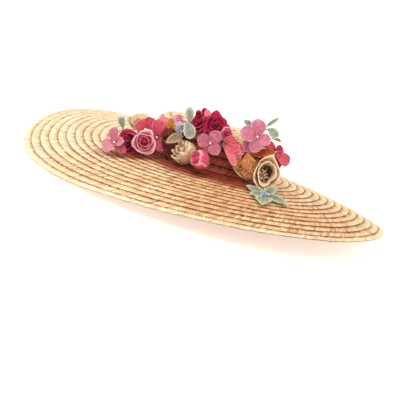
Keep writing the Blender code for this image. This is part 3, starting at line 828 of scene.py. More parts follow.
@dataclass
class Plait:
    """Seven-strand straw plait: its cell, its slant, its thickness and its relief."""

    cell: float = 4.1 * MM
    slant: float = 4.4 * MM
    thickness: float = 1.4 * MM
    belly: float = 0.45 * MM
    ridge: float = 0.5 * MM
    tooth: float = 0.9 * MM
    steps: int = 5
    fault: float = 0.16
    wander: float = 0.13 * MM
    marks: tuple[Mark, ...] = (
        Mark(0.00, 0.0, 0.3, 0.0, 0.00, 0.0), Mark(0.14, 0.0, 0.9, 0.0, 0.14, 0.0),
        Mark(0.30, 0.0, 1.0, 0.0, 0.30, 0.0), Mark(0.47, 0.0, 0.4, 0.0, 0.47, 0.0),
        Mark(0.53, 0.0, 0.4, 0.5, 0.53, 0.0), Mark(0.70, 0.0, 1.0, 0.5, 0.70, 0.0),
        Mark(0.88, 0.0, 0.9, 0.5, 0.88, 0.0), Mark(1.00, 0.2, 0.6, 0.5, 0.95, 0.0),
        Mark(1.02, 0.6, 0.2, 0.5, 0.95, 0.6), Mark(1.00, 1.0, -0.3, 0.5, 0.60, 1.0),
        Mark(0.50, 1.0, -0.6, 0.5, 0.60, 0.0), Mark(0.00, 1.0, -0.3, 0.0, 0.60, 0.0),
    )

    def column(self, name: str) -> Array:
        """One field of every mark, as a column."""
        return np.array([getattr(mark, name) for mark in self.marks])[:, None]

    def ring(self, place: Callable[[Array, Array], Placed], inner: float, outer: float,
             around: float, row: int, lap: float, toothed: float = 1.0) -> Row:
        """Make one closed row of plait.

        Args:
            place: Gives radius, height and outward normal for a distance and an angle.
            inner: Distance of the row's tucked edge.
            outer: Distance of its free edge.
            around: Length of the row round the hat.
            row: Number of the row, which also seeds its small faults.
            lap: How far its free edge stands above the next row.
            toothed: Size of the teeth and ridges, as a share.

        Returns:
            Points, quads and corner values.
        """
        cells = max(round(around / self.cell), 5)
        stations = cells * self.steps
        luck = np.random.default_rng(100 + row)
        share, strands = self.column("place"), self.column("strands")
        phase = np.arange(stations)[None] / self.steps
        lean = self.slant / self.cell * np.abs(2 * share - 1)
        angle = 2 * math.pi * (phase - lean) / cells
        bulge = self.bulge(phase + strands)
        faults = luck.normal(0, self.fault, (2, cells))
        number = np.floor(phase + strands).astype(int) % cells
        fault = np.where(strands > 0, faults[1][number], faults[0][number])
        wander = sum(luck.normal(0, self.wander) * np.cos(count * angle + luck.uniform(0, 6.28))
                     for count in (2, 3, 5, 9, 14))
        free = np.where(share > 0.95, (bulge - 0.75 + fault) * self.tooth * toothed, 0)
        distance = inner + (outer - inner) * share + free + wander * smooth(share * 3)
        radius, height, out_r, out_z = place(distance, angle)
        rise = lap * share + self.belly * np.sin(math.pi * np.clip(share, 0, 1) ** 0.8)
        rise = rise + self.ridge * toothed * self.column("relief") * (bulge - 0.6 + fault)
        rise = rise - self.thickness * self.column("depth")
        ring_r, ring_z = radius + out_r * rise, height + out_z * rise
        grid = np.stack([ring_r * np.cos(angle), ring_r * np.sin(angle), ring_z], -1)
        wide = len(self.marks)
        number = np.arange(wide * stations).reshape(wide, stations)
        down, right = np.roll(number, -1, 0), np.roll(number, -1, 1)
        quads = np.stack([number, right, np.roll(down, -1, 1), down], -1).reshape(-1, 4)
        now = np.broadcast_to(phase, (wide, stations))
        values = {"phase": np.stack([now, now + 1 / self.steps, now + 1 / self.steps, now], -1),
                  "across": self.corners("shade", stations), "edge": self.corners("edge", stations),
                  "row": np.full((wide, stations, 4), float(row))}
        values = {key: value.reshape(-1, 4)[:, ::-1] for key, value in values.items()}
        return grid.reshape(-1, 3), quads[:, ::-1], values

    @staticmethod
    def bulge(phase: Array) -> Array:
        """Roundness of a strand, from its groove at 0 to its crest at 1."""
        return 1 - np.abs(2 * np.mod(phase, 1.0) - 1) ** 3

    def corners(self, name: str, stations: int) -> Array:
        """One field of the marks at each corner of each quad.

        Args:
            name: Name of the field.
            stations: Points along the row.

        Returns:
            Values, with four corners a quad.
        """
        here = self.column(name)[:, 0]
        after = np.roll(here, -1)
        if name == "edge":
            here = np.where(after > 0, here, 0)
        corners = np.stack([here, here, after, after], -1)[:, None]
        return np.broadcast_to(corners, (len(here), stations, 4)).copy()


@dataclass
class Brim:
    """Wide saucer brim of lapped rows, waved round its rim."""

    radius: float = 260 * MM
    head_radius: float = 89 * MM
    row_pitch: float = 11.3 * MM
    rim_row: float = 9.6 * MM
    rise: float = 14.7 * MM
    edge_turn: float = 18.3 * MM
    lap: float = 1.3 * MM
    tuck: float = 1.5 * MM
    edge_back: float = 0.3 * MM
    rim_teeth: float = 1.9
    waves: tuple[tuple[int, float, float], ...] = ((2, 16.2 * MM, -41.6), (3, 5.0 * MM, 13.0))
    lean_slope: float = 0.0044
    lean_peak_deg: float = 48.0
    plait: Plait = field(default_factory=Plait)
    groups: tuple[tuple[str, int], ...] = (("rim", 3), ("outer", 4), ("middle", 4), ("inner", 4))

    def wave(self, radius: Array, angle: Array) -> Array:
        """Height of the brim's waves and lean.

        Args:
            radius: Distance from the hat's axis.
            angle: Angle round the axis.

        Returns:
            Height to add.
        """
        share = (radius / self.radius) ** 2
        total = sum(h * np.cos(n * (angle - math.radians(peak))) for n, h, peak in self.waves)
        return share * total + self.lean_slope * radius * np.cos(angle - math.radians(self.lean_peak_deg))

    def base(self, radius: Array, angle: Array) -> Array:
        """Height of the braid's top where a row tucks under the next.

        Args:
            radius: Distance from the hat's axis.
            angle: Angle round the axis.

        Returns:
            Height above the floor.
        """
        share = radius / self.radius
        return LIFT + self.rise * (1 - share) + self.edge_turn * (1 - share ** 4) + self.wave(radius, angle)

    def edges(self) -> list[float]:
        """List the free edges of the rows from the rim to the head.

        Returns:
            Distances from the hat's axis.
        """
        found = [self.radius, self.radius - self.rim_row]
        while found[-1] - 1.5 * self.row_pitch > self.head_radius:
            found.append(found[-1] - self.row_pitch)
        return found + [self.head_radius]

    def place(self, distance: Array, angle: Array) -> Placed:
        """Radius, height and upward normal for a distance from the axis."""
        return distance, self.base(distance, angle), np.zeros_like(distance), np.ones_like(distance)

    def build(self) -> None:
        """Lay the rows and join them in groups."""
        edges = self.edges()
        rows = list(zip(edges, edges[1:]))
        number = 0
        for label, count in self.groups:
            made = []
            for outer, inner in rows[number:number + count]:
                number += 1
                tucked = inner - (self.tuck if inner > self.head_radius else 0)
                around = math.pi * (outer + inner)
                toothed = self.rim_teeth if number == 1 else 1.0
                made.append(self.plait.ring(self.place, tucked, outer - self.edge_back, around,
                                            number, self.lap, toothed))
            joined(f"brim_braid_{label}", made, ("brim",))


@dataclass
class Crown:
    """Low round crown of lapped rows, hollow, whose foot laps over the brim."""

    top: float = 77 * MM
    radius: float = 90 * MM
    shoulder: float = 14 * MM
    dome: float = 4 * MM
    foot_radius: float = 97 * MM
    foot_wall: float = 92.5 * MM
    wall: float = 1.6 * MM
    gap: float = 0.4 * MM
    row_pitch: float = 11.3 * MM
    lap: float = 1.3 * MM
    tuck: float = 1.5 * MM
    settle: float = 1.5 * MM
    eye: float = 1.2 * MM
    first_number: int = 40
    still_above: float = 30 * MM
    foot_band: float = 3 * MM
    brim: Brim = field(default_factory=Brim)
    plait: Plait = field(default_factory=Plait)

    def line(self) -> Array:
        """Draw the outer line from the tip's middle to the foot.

        Returns:
            Radius and height above the mean rim plane at each point.
        """
        turn, edge = self.radius - self.shoulder, self.top - self.dome
        points = [(turn * i / 12, self.top - self.dome * (i / 12) ** 2) for i in range(12)]
        for i in range(9):
            angle = math.pi / 2 * i / 8
            points.append((turn + self.shoulder * math.sin(angle),
                           edge - self.shoulder + self.shoulder * math.cos(angle)))
        foot = float(self.brim.base(self.foot_radius, 0) - self.brim.wave(self.foot_radius, 0)) - LIFT
        foot += self.lap + self.gap + self.wall
        points += [(self.foot_wall, foot + 2.5 * MM), (self.foot_wall + 1.2 * MM, foot + 0.7 * MM),
                   (self.foot_radius, foot)]
        return np.array(points)

    def place(self, distance: Array, angle: Array) -> Placed:
        """Radius, height and outward normal for a distance from the tip.

        Args:
            distance: Distance from the tip's middle along the crown.
            angle: Angle round the axis.

        Returns:
            Radius, height and the normal's two parts.
        """
        line = self.line()
        marks, radii = self.marks(line)
        radius = np.interp(distance, marks, radii)
        height = np.interp(distance, marks, line[:, 1])
        slope = np.gradient(line, marks, axis=0)
        out_r = np.interp(distance, marks, -slope[:, 1])
        out_z = np.interp(distance, marks, slope[:, 0])
        low, high = self.still_above, self.top - self.dome - self.shoulder
        fade = np.clip((high - height) / (high - low), 0, 1)
        sunk = self.settle * smooth((radius - self.foot_wall + 1 * MM) / self.foot_band)
        return radius, height + LIFT + self.brim.wave(self.foot_radius, angle) * fade - sunk, out_r, out_z

    def build(self) -> None:
        """Lay the rows of the wall and of the tip, and close the middle of the tip."""
        marks, radii = self.marks(self.line())
        stops = [float(marks[-1])]
        while stops[-1] > 1.5 * self.row_pitch:
            stops.append(stops[-1] - self.row_pitch)
        stops.append(self.eye)
        wall, tip = [], []
        for number, (outer, inner) in enumerate(zip(stops, stops[1:])):
            middle = float(np.interp((outer + inner) / 2, marks, radii))
            tucked = inner - (self.tuck if inner > 5 * MM else 0)
            made = self.plait.ring(self.place, tucked, outer, 2 * math.pi * middle,
                                   self.first_number + number, self.lap)
            (wall if middle > self.radius - 2 * MM else tip).append(made)
        joined("crown_braid_wall", wall, ("crown",))
        joined("crown_braid_tip", tip, ("crown",))
        knot = Workshop()
        knot.ball((0, 0, self.top + LIFT - 0.2 * MM), 1.9 * MM)
        knot.piece("crown_tip_knot", KNOT, "straw")

    def wall_radius(self, height: float) -> float:
        """Outer radius of the wall or shoulder at a height above the mean rim plane."""
        line = self.line()
        return float(np.interp(-height, -line[:, 1], line[:, 0]))

    @staticmethod
    def marks(line: Array) -> tuple[Array, Array]:
        """Distances and radii of the crown's line."""
        steps = np.hypot(*np.diff(line, axis=0).T)
        return np.concatenate([[0], np.cumsum(steps)]), line[:, 0]


@dataclass(frozen=True)
class FlowerShade:
    """Painted shadow under the flowers, dark red for their shade and the red light they throw back: places
    on the brim with their strength and reach, in millimetres.
    """

    places: tuple[tuple[float, float, float, float], ...] = (
        (-136, -103, 0.5, 13), (-118, -103, 0.8, 16), (-101, -95, 0.95, 24), (-86, -84, 1, 32),
        (-70, -74, 1, 40), (-52, -88, 1, 42), (-32, -104, 1, 40), (-10, -107, 1, 42), (10, -100, 1, 52),
        (30, -96, 1, 58), (50, -97, 1, 50), (64, -104, 0.8, 36), (80, -96, 0.4, 24))
    shadow_core: float = 12.0
    fade_from: float = 60.0
    fade_to: float = 74.0

    def amounts(self, points: Array) -> Array:
        """Amount of painted shadow at each point.

        Args:
            points: Points in metres.

        Returns:
            Amounts from 0 to 1.
        """
        x, y, z = points.T / MM
        most = np.zeros(len(points))
        for (x0, y0, s0, r0), (x1, y1, s1, r1) in zip(self.places, self.places[1:]):
            run_x, run_y = x1 - x0, y1 - y0
            share = np.clip(((x - x0) * run_x + (y - y0) * run_y) / (run_x ** 2 + run_y ** 2), 0, 1)
            gap = np.hypot(x - x0 - share * run_x, y - y0 - share * run_y)
            reach = r0 + (r1 - r0) * share
            most = np.maximum(most, (s0 + (s1 - s0) * share) * smooth(1 - (gap - self.shadow_core) / reach))
        height = z - LIFT / MM
        return most * smooth((self.fade_to - height) / (self.fade_to - self.fade_from))


def joined(name: str, rows: Iterable[Row], replaces: Sequence[str]) -> None:
    """Join rows of plait into one piece.

    Args:
        name: Name of the piece.
        rows: Points, quads and corner values of each row.
        replaces: Solids that the piece stands for.
    """
    points, quads, values, count = [], [], {}, 0
    for row_points, row_quads, row_values in rows:
        points.append(row_points)
        quads.append(row_quads + count)
        count += len(row_points)
        for key, value in row_values.items():
            values.setdefault(key, []).append(value)
    carried = {key: np.concatenate(value) for key, value in values.items()}
    # Painted shadow of the flowers, carried on the straw for its finish to darken by.
    carried["dye"] = FlowerShade().amounts(np.concatenate(points))
    made = mesh_piece(name, np.concatenate(points), np.concatenate(quads), carried)
    dress(made, StrawFinish(), "straw", replaces)


@dataclass(frozen=True)
class Root:
    """Where a stem is sewn: on the straw's top at x and y, or on the crown's front at x and z."""

    x: float
    second: float
    on_wall: bool = False

    def point(self, brim: Brim, crown: Crown) -> Vector:
        """Point of the straw.

        Args:
            brim: The brim.
            crown: The crown.

        Returns:
            The point in metres.
        """
        x, second = self.x * MM, self.second * MM
        if self.on_wall:
            radius = crown.wall_radius(second) + crown.lap + STITCH_LIFT
            return Vector((x, -math.sqrt(radius ** 2 - x ** 2), second + LIFT))
        radius, angle = math.hypot(x, second), math.atan2(second, x)
        if radius > crown.foot_radius:
            return Vector((x, second, float(brim.base(radius, angle)) + brim.lap))
        share = radius / (crown.radius - crown.shoulder)
        return Vector((x, second, crown.top - crown.dome * share ** 2 + crown.lap + LIFT))


@dataclass(frozen=True)
class Perch:
    """Place and aim of a flower. Yaw 0 faces the viewer, plus turns right. Pitch tips it up."""

    spot: Vector
    yaw: float
    pitch: float

    def frame(self) -> Matrix:
        """Make the flower's own frame.

        Returns:
            Matrix whose +Z goes out of the flower's face and whose +Y goes up.
        """
        yaw, pitch = math.radians(self.yaw), math.radians(self.pitch)
        face = Vector((math.sin(yaw) * math.cos(pitch), -math.cos(yaw) * math.cos(pitch), math.sin(pitch)))
        up = (Vector((0, 0, 1)) - face * face.z).normalized()
        made = Matrix((up.cross(face), up, face)).transposed().to_4x4()
        made.translation = self.spot
        return made

    def back(self) -> Vector:
        """Direction out of the flower's back."""
        return -self.frame().to_3x3().col[2]


def stem(name: str, start: Vector, away: Vector, end: Vector, radius: float = FLOWER_WIRE) -> None:
    """Taped wire that leaves a flower backwards and bends down to the straw.

    Args:
        name: Name of the piece.
        start: Where it leaves the flower.
        away: Direction in which it leaves.
        end: Where it is sewn to the straw.
        radius: Radius of the wire with its tape.
    """
    share = np.linspace(0, 1, 12)[:, None]
    bend = start + away.normalized() * (end - start).length * 0.45
    path = (np.array(start) * (1 - share) ** 2 + np.array(bend) * 2 * share * (1 - share)
            + np.array(end) * share ** 2)
    wire = Workshop()
    wire.tube(path, radius * np.linspace(1.25, 1.0, 12))
    wire.piece(name, TAPE, "sage_leaf")


def outline(along: Array, widest: float, blunt: float, base: float) -> Array:
    """Half width of a petal or leaf along its length, as a share.

    Args:
        along: Places from 0 at the base to 1 at the tip.
        widest: Where it is widest.
        blunt: From 1.2 for a point to 2.5 for a square end.
        base: Share at the base.

    Returns:
        The shares.
    """
    rise = np.clip(along / widest, 0, 1)
    fall = np.clip((along - widest) / (1 - widest), 0, 1)
    swell = base + (1 - base) * np.sin(rise * math.pi / 2) ** 1.1
    return np.maximum(swell * (1 - fall ** blunt) ** (1 / blunt), 0.04)


@dataclass(frozen=True)
class Petal:
    """Petal of a floret, in degrees and millimetres, with its shade and its folds."""

    turn: float
    length: float
    width: float
    lift: float
    tint: float = 0.0
    widest: float = 0.58
    cup: float = 0.2
    curl: float = -0.06
    twist: float = 0.0
    fold: float = 0.45 * MM
    crease: float = 0.22 * MM
    crease_width: float = 0.13

    def grid(self, seed: int) -> Grid:
        """Middle points of the petal in the floret's frame.

        Args:
            seed: Seed of its ruffles.

        Returns:
            Points and the numbers along and across it.
        """
        luck = np.random.default_rng(seed)
        across = np.linspace(-1, 1, 15)[:, None]
        along = 1 - (1 - np.linspace(0, 1, 15)[None]) ** 1.6
        half = self.width * MM / 2 * outline(along, self.widest, 2.2, 0.26)
        reach = self.length * MM
        flat = across * half
        y = along * reach * (1 - 0.04 * across ** 2) + 0 * across
        folds = np.sin(2.4 * across * math.pi + luck.uniform(0, 6)) * along ** 2
        z = self.cup * half * across ** 2 + self.curl * reach * along ** 3
        z = z + self.fold * folds + 0.06 * reach * np.sin(along * math.pi)
        z = z - self.crease * np.exp(-(across / self.crease_width) ** 2)
        turned = math.radians(self.twist) * along
        x, z = flat * np.cos(turned) - z * np.sin(turned), flat * np.sin(turned) + z * np.cos(turned)
        lift, turn = math.radians(self.lift), math.radians(self.turn)
        forward, up = y * math.cos(lift) - z * math.sin(lift), y * math.sin(lift) + z * math.cos(lift)
        placed = np.stack([x * math.sin(turn) + forward * math.cos(turn),
                           -x * math.cos(turn) + forward * math.sin(turn), up], -1)
        return placed, along, across


@dataclass(frozen=True)
class Floret:
    """Hydrangea floret: loose round petals round a pearl."""

    name: str
    perch: Perch
    root: Root
    petals: tuple[Petal, ...]
    finish: SilkFinish
    slot: str
    pearls: tuple[tuple[float, float], ...] = ((0, 0),)
    pearl_radius: float = 1.75 * MM
    step: float = 0.25 * MM

    def build(self, brim: Brim, crown: Crown) -> None:
        """Make the petals, pearls and stem.

        Args:
            brim: Brim that carries it.
            crown: Crown that carries it.
        """
        cloth = Workshop()
        for number, petal in enumerate(self.petals):
            grid, along, across = petal.grid(number * 7 + len(self.name))
            grid = grid + np.array([0, 0, -self.step * number])
            cloth.sheet(grid, SILK_THICKNESS, along, across, petal.tint)
        frame_here = self.perch.frame()
        cloth.moved(frame_here).piece(self.name + "_petals", self.finish, self.slot, (self.name,))
        beads = Workshop()
        for x, y in self.pearls:
            beads.ball((x * MM, y * MM, 1.6 * MM), self.pearl_radius)
        beads.moved(frame_here).piece(self.name + "_pearl", PEARL, self.slot)
        stem(self.name + "_stem", self.perch.spot, self.perch.back(), self.root.point(brim, crown))


@dataclass(frozen=True)
class Layer:
    """One ring of a rose's petals, as shares of its radius and depth."""

    count: int
    mouth: float
    low: float
    high: float
    reach_deg: float
    turn_deg: float
    tint: float
    roll: float = 0.06
    ruffle: float = 0.04
    belly: float = 0.0
    spiral: float = 0.07
    point: float = 0.0
    foot: float = 0.14
    droop: float = 0.18

    def grids(self, radius: float, depth: float, squash: float, seed: int) -> Iterable[Grid]:
        """Middle points of each petal in the ring.

        Args:
            radius: Rose's radius.
            depth: Rose's depth.
            squash: Width as a share of its height.
            seed: Seed of its ruffles.

        Yields:
            Points and the numbers along and across a petal.
        """
        luck = np.random.default_rng(seed)
        across = np.linspace(-1, 1, 17)[:, None]
        along = np.linspace(0, 1, 14)[None]
        for number in range(self.count):
            middle = math.radians(self.turn_deg) + 2 * math.pi * number / self.count
            middle += luck.normal(0, 0.07)
            top = 1 - self.droop * np.abs(across) ** 2.4 + self.point * np.exp(-(across / 0.25) ** 2)
            share = along * top * luck.uniform(0.94, 1.06)
            held = np.clip(share, 0, 1)
            spread = 0.7 + 0.3 * np.sin(held * math.pi / 2)
            angle = middle + across * math.radians(self.reach_deg) * spread
            size = self.foot + (self.mouth - self.foot) * np.sin(held * math.pi / 2) ** 0.8
            size = (size + self.belly * np.sin(held * math.pi)) * (1 + self.spiral * across)
            over = np.clip((share - 0.76) / 0.24, 0, 1.3)
            first, second = luck.uniform(0, 6, 2)
            folds = np.sin(across * 4.2 + first) + 0.4 * np.sin(across * 9 + second)
            wave = self.ruffle * folds * share ** 2
            size = size + self.roll * over ** 2 + wave * 0.6
            rise = self.low + (self.high - self.low) * share - self.roll * 0.5 * over ** 3 + wave
            x = np.cos(angle) * size * radius * squash
            y = np.sin(angle) * size * radius
            yield np.stack([x, y, rise * depth + 0 * x], -1), along + 0 * share, across + 0 * share


class Form(Enum):
    """How a rose is made up."""

    SPIRAL = "spiral"
    BUD = "bud"
    CLOSED = "closed"
    FOLDED = "folded"
    RUFFLED = "ruffled"
    OPEN = "open"


LAYERS: dict[Form, tuple[Layer, ...]] = {
    Form.SPIRAL: (
        Layer(3, 0.98, -0.58, 0.02, 76, 200, -0.35, roll=0.20, ruffle=0.06, point=0.10),
        Layer(3, 0.72, -0.50, 0.22, 70, 140, 0.1, roll=0.10, ruffle=0.09, point=0.08),
        Layer(3, 0.46, -0.34, 0.32, 72, 80, 0.45, roll=0.05, ruffle=0.08, spiral=0.2),
    ),
    Form.BUD: (
        Layer(3, 0.66, -0.62, 0.34, 84, 262, 0.0, roll=0.03, belly=0.36, point=0.14, droop=0.12),
        Layer(3, 0.56, -0.50, 0.38, 80, 200, 0.35, roll=0.03, belly=0.20, droop=0.12),
        Layer(3, 0.42, -0.40, 0.42, 84, 150, 0.8, roll=0.02, spiral=0.12, droop=0.14),
        Layer(2, 0.26, -0.30, 0.42, 100, 0, 1.0, roll=0.0, spiral=0.2, droop=0.14),
    ),
    Form.CLOSED: (
        Layer(3, 0.74, -0.66, 0.40, 82, 330, 0.1, roll=0.12, ruffle=0.10, belly=0.30, point=0.05),
        Layer(3, 0.58, -0.54, 0.48, 82, 270, -0.4, roll=0.10, ruffle=0.11, belly=0.24),
        Layer(2, 0.40, -0.40, 0.48, 100, 60, -0.1, roll=0.06, ruffle=0.10, belly=0.10, spiral=0.15),
    ),
    Form.FOLDED: (
        Layer(2, 1.00, -0.50, 0.04, 104, 150, 0.45, roll=0.28, ruffle=0.04, point=0.06, spiral=0.10),
        Layer(2, 0.68, -0.44, 0.26, 100, 40, 0.1, roll=0.16, ruffle=0.05, spiral=0.16),
        Layer(2, 0.34, -0.34, 0.30, 100, 110, 0.3, roll=0.06, ruffle=0.04, spiral=0.2),
    ),
    Form.RUFFLED: (
        Layer(5, 0.98, -0.42, -0.04, 50, 90, 0.75, roll=0.26, ruffle=0.10, droop=0.3),
        Layer(4, 0.76, -0.38, 0.14, 56, 45, 0.4, roll=0.22, ruffle=0.12, droop=0.3),
        Layer(3, 0.50, -0.28, 0.28, 64, 100, 0.8, roll=0.16, ruffle=0.12, droop=0.3),
        Layer(2, 0.26, -0.20, 0.32, 80, 30, 0.2, roll=0.10, ruffle=0.10, spiral=0.16, droop=0.3),
    ),
    Form.OPEN: (
        Layer(3, 0.96, -0.58, 0.30, 74, 90, 0.1, roll=0.12, ruffle=0.05, point=0.14, droop=0.3),
        Layer(3, 0.70, -0.50, 0.30, 76, 130, -0.2, roll=0.08, ruffle=0.06, droop=0.3),
        Layer(3, 0.50, -0.46, 0.02, 78, 20, 1.0, roll=0.0, droop=0.3),
    ),
}
HEART_TINTS = {Form.SPIRAL: 1.0, Form.BUD: 1.0, Form.CLOSED: -0.3, Form.FOLDED: 0.2, Form.RUFFLED: 0.4}


@dataclass(frozen=True)
class Rose:
    """Rose: rings of petals round a rolled heart, in a green calyx."""

    name: str
    perch: Perch
    root: Root
    radius: float
    depth: float
    squash: float
    form: Form
    finish: SilkFinish
    slot: str
    tint: float = 0.0
    cloth: float = 0.45 * MM
    beads: int = 15

    def heart(self, cloth: Workshop) -> None:
        """Roll the heart's strip of silk.

        Args:
            cloth: Where the strip goes.
        """
        turns = np.linspace(0, 1.6 * 2 * math.pi, 44)[:, None]
        rise = np.linspace(0, 1, 7)[None]
        part = turns / turns.max()
        size = (0.03 + 0.17 * part) * (0.8 + 0.2 * rise)
        height = -0.35 + (0.72 - 0.06 * part) * rise + 0.02 * np.sin(turns * 2.3) * rise
        x = np.cos(turns) * size * self.radius * (0.4 + 0.6 * self.squash)
        y = np.sin(turns) * size * self.radius
        cloth.sheet(np.stack([x, y, height * self.depth + 0 * x], -1), FINE_SILK_THICKNESS, rise + 0 * part,
                    part * 1.6 - 0.8 + 0 * rise, HEART_TINTS[self.form])

    def stamens(self, frame_here: Matrix) -> None:
        """Beaded stamens in an open rose.

        Args:
            frame_here: Frame of the rose.
        """
        luck = np.random.default_rng(5)
        beads = Workshop()
        for number in range(self.beads):
            turn = number * GOLDEN_TURN
            reach = self.radius * 0.38 * math.sqrt((number + 0.5) / self.beads)
            middle = np.array([-0.10, -0.16, 0]) * self.radius
            base = middle * 0.5 + np.array([0, 0, -0.45 * self.depth])
            tip = middle + np.array([math.cos(turn) * reach * self.squash, math.sin(turn) * reach,
                                     self.depth * luck.uniform(-0.16, 0.02)])
            beads.tube(between(base, tip, 4), np.full(4, FINE_WIRE), 5)
            beads.ball(tip, 1.1 * MM * luck.uniform(0.8, 1.2), sides=10)
        beads.moved(frame_here).piece(self.name + "_stamens", STAMEN, self.slot)

    def calyx(self, frame_here: Matrix) -> None:
        """Green cup and sepals behind the petals.

        Args:
            frame_here: Frame of the rose.
        """
        leaf = Workshop()
        back = -0.6 * self.depth
        leaf.ball((0, 0, back), self.radius * 0.2)
        for number in range(5):
            across = np.linspace(-1, 1, 5)[:, None]
            along = np.linspace(0, 1, 8)[None]
            turn = 2 * math.pi * number / 5
            reach = self.radius * (0.16 + 0.5 * np.sin(along * 1.4))
            width = self.radius * 0.12 * outline(along, 0.35, 1.4, 0.5)
            x = reach * math.cos(turn) - across * width * math.sin(turn)
            y = reach * math.sin(turn) + across * width * math.cos(turn)
            z = back + self.depth * (0.02 + 0.24 * along ** 1.5) + 0 * x
            blade = np.stack([x * self.squash, y, z], -1)
            leaf.sheet(blade, FINE_SILK_THICKNESS, along + 0 * across, across + 0 * along)
        leaf.moved(frame_here).piece(self.name + "_calyx", SAGE_LEAF, "sage_leaf")

    def build(self, brim: Brim, crown: Crown) -> None:
        """Make the petals, heart, calyx and stem.

        Args:
            brim: Brim that carries it.
            crown: Crown that carries it.
        """
        cloth = Workshop()
        for number, layer in enumerate(LAYERS[self.form]):
            seed = number + len(self.name)
            for grid, along, across in layer.grids(self.radius, self.depth, self.squash, seed):
                cloth.sheet(grid, self.cloth, along, across, layer.tint + self.tint)
        if self.form in HEART_TINTS:
            self.heart(cloth)
        frame_here = self.perch.frame()
        cloth.moved(frame_here)
        cloth.piece(self.name + "_petals", self.finish, self.slot, (self.name,))
        if self.form is Form.OPEN and self.beads:
            self.stamens(frame_here)
        self.calyx(frame_here)
        back = self.perch.back()
        start = self.perch.spot + back * self.depth * 0.6
        stem(self.name + "_stem", start, back, self.root.point(brim, crown))


class Margin(Enum):
    """Edge of a leaf."""

    PLAIN = "plain"
    SCALLOPED = "scalloped"
    SAWN = "sawn"


@dataclass(frozen=True)
class Leaf:
    """Leaf or loose petal from its base to its tip, folded along its midrib, on a wire."""

    name: str
    root: Root | None
    base: Vector
    tip: Vector
    width: float
    finish: LeafFinish | SilkFinish | NetFinish
    slot: str
    bow: float = 1.0
    fold: float = 1.0
    widest: float = 0.45
    blunt: float = 1.7
    margin: Margin = Margin.PLAIN
    teeth: int = 5
    bite: float = 0.16
    facing: Vector = field(default_factory=lambda: FACING_VIEWER)
    stands_in: bool = True
    tint: float = 0.0

    def half(self, along: Array) -> Array:
        """Half width of the blade along it, with its margin's teeth.

        Args:
            along: Places from 0 at the base to 1 at the tip.

        Returns:
            Half widths in metres.
        """
        shape = self.width * MM / 2 * outline(along, self.widest, self.blunt, 0.12)
        if self.margin is Margin.SAWN:
            shape = shape * (1 - self.bite * np.mod(along * self.teeth, 1.0))
        if self.margin is Margin.SCALLOPED:
            shape = shape * (1 - self.bite * (1 - np.abs(np.sin(along * self.teeth * math.pi))))
        return shape

    def line(self, across: Array, along: Array, crinkle: float = 0.3 * MM) -> Array:
        """Points of the blade.

        Args:
            across: From -1 to 1 across it.
            along: From 0 to 1 along it.
            crinkle: Height of its small waves.

        Returns:
            The points.
        """
        run = np.array(self.tip - self.base)
        axis = run / np.linalg.norm(run)
        side = np.cross(axis, np.array(self.facing))
        side /= np.linalg.norm(side)
        face = np.cross(side, axis)
        half = self.half(along)
        rise = self.bow * MM * np.sin(math.pi * along) + self.fold * MM * np.abs(across) * half / half.max()
        rise = rise + crinkle * np.sin(along * 13 + across * 3) * (0.3 + np.abs(across))
        return (np.array(self.base) + along[..., None] * run + (across * half)[..., None] * side
                + rise[..., None] * face)

    def sheet(self, cloth: Workshop) -> None:
        """Add the blade with its midrib and side veins.

        Args:
            cloth: Where the blade goes.
        """
        count = 24 if self.margin is Margin.PLAIN else self.teeth * 7 + 1
        across = np.linspace(-1, 1, 13)[:, None] + np.zeros((1, count))
        along = np.linspace(0, 1, count)[None] + np.zeros((13, 1))
        grid = self.line(across, along)
        ribs = np.abs(np.sin(math.pi * (along * LEAF_VEINS - np.abs(across) * LEAF_VEIN_SLANT)))
        dent = 0.12 * MM * ribs - 0.25 * MM * np.exp(-(across / 0.12) ** 2)
        grid = grid + dent[..., None] * np.array(self.facing)
        cloth.sheet(grid, SILK_THICKNESS, along, across, self.tint)

    def build(self, brim: Brim, crown: Crown) -> None:
        """Make the blade and its wire.

        Args:
            brim: Brim that carries it.
            crown: Crown that carries it.
        """
        cloth = Workshop()
        self.sheet(cloth)
        cloth.piece(self.name + "_blade", self.finish, self.slot, (self.name,) if self.stands_in else ())
        self.wire(self.base + (self.tip - self.base) * 0.06, brim, crown)

    def wire(self, start: Vector, brim: Brim, crown: Crown) -> None:
        """Run the leaf's wire to the straw.

        Args:
            start: Where it leaves the leaf.
            brim: Brim that carries it.
            crown: Crown that carries it.
        """
        back = (self.base - self.tip).normalized() * 0.6 + Vector((0, 0.3, -0.5))
        stem(self.name + "_stem", start, back, self.root.point(brim, crown), LEAF_WIRE)


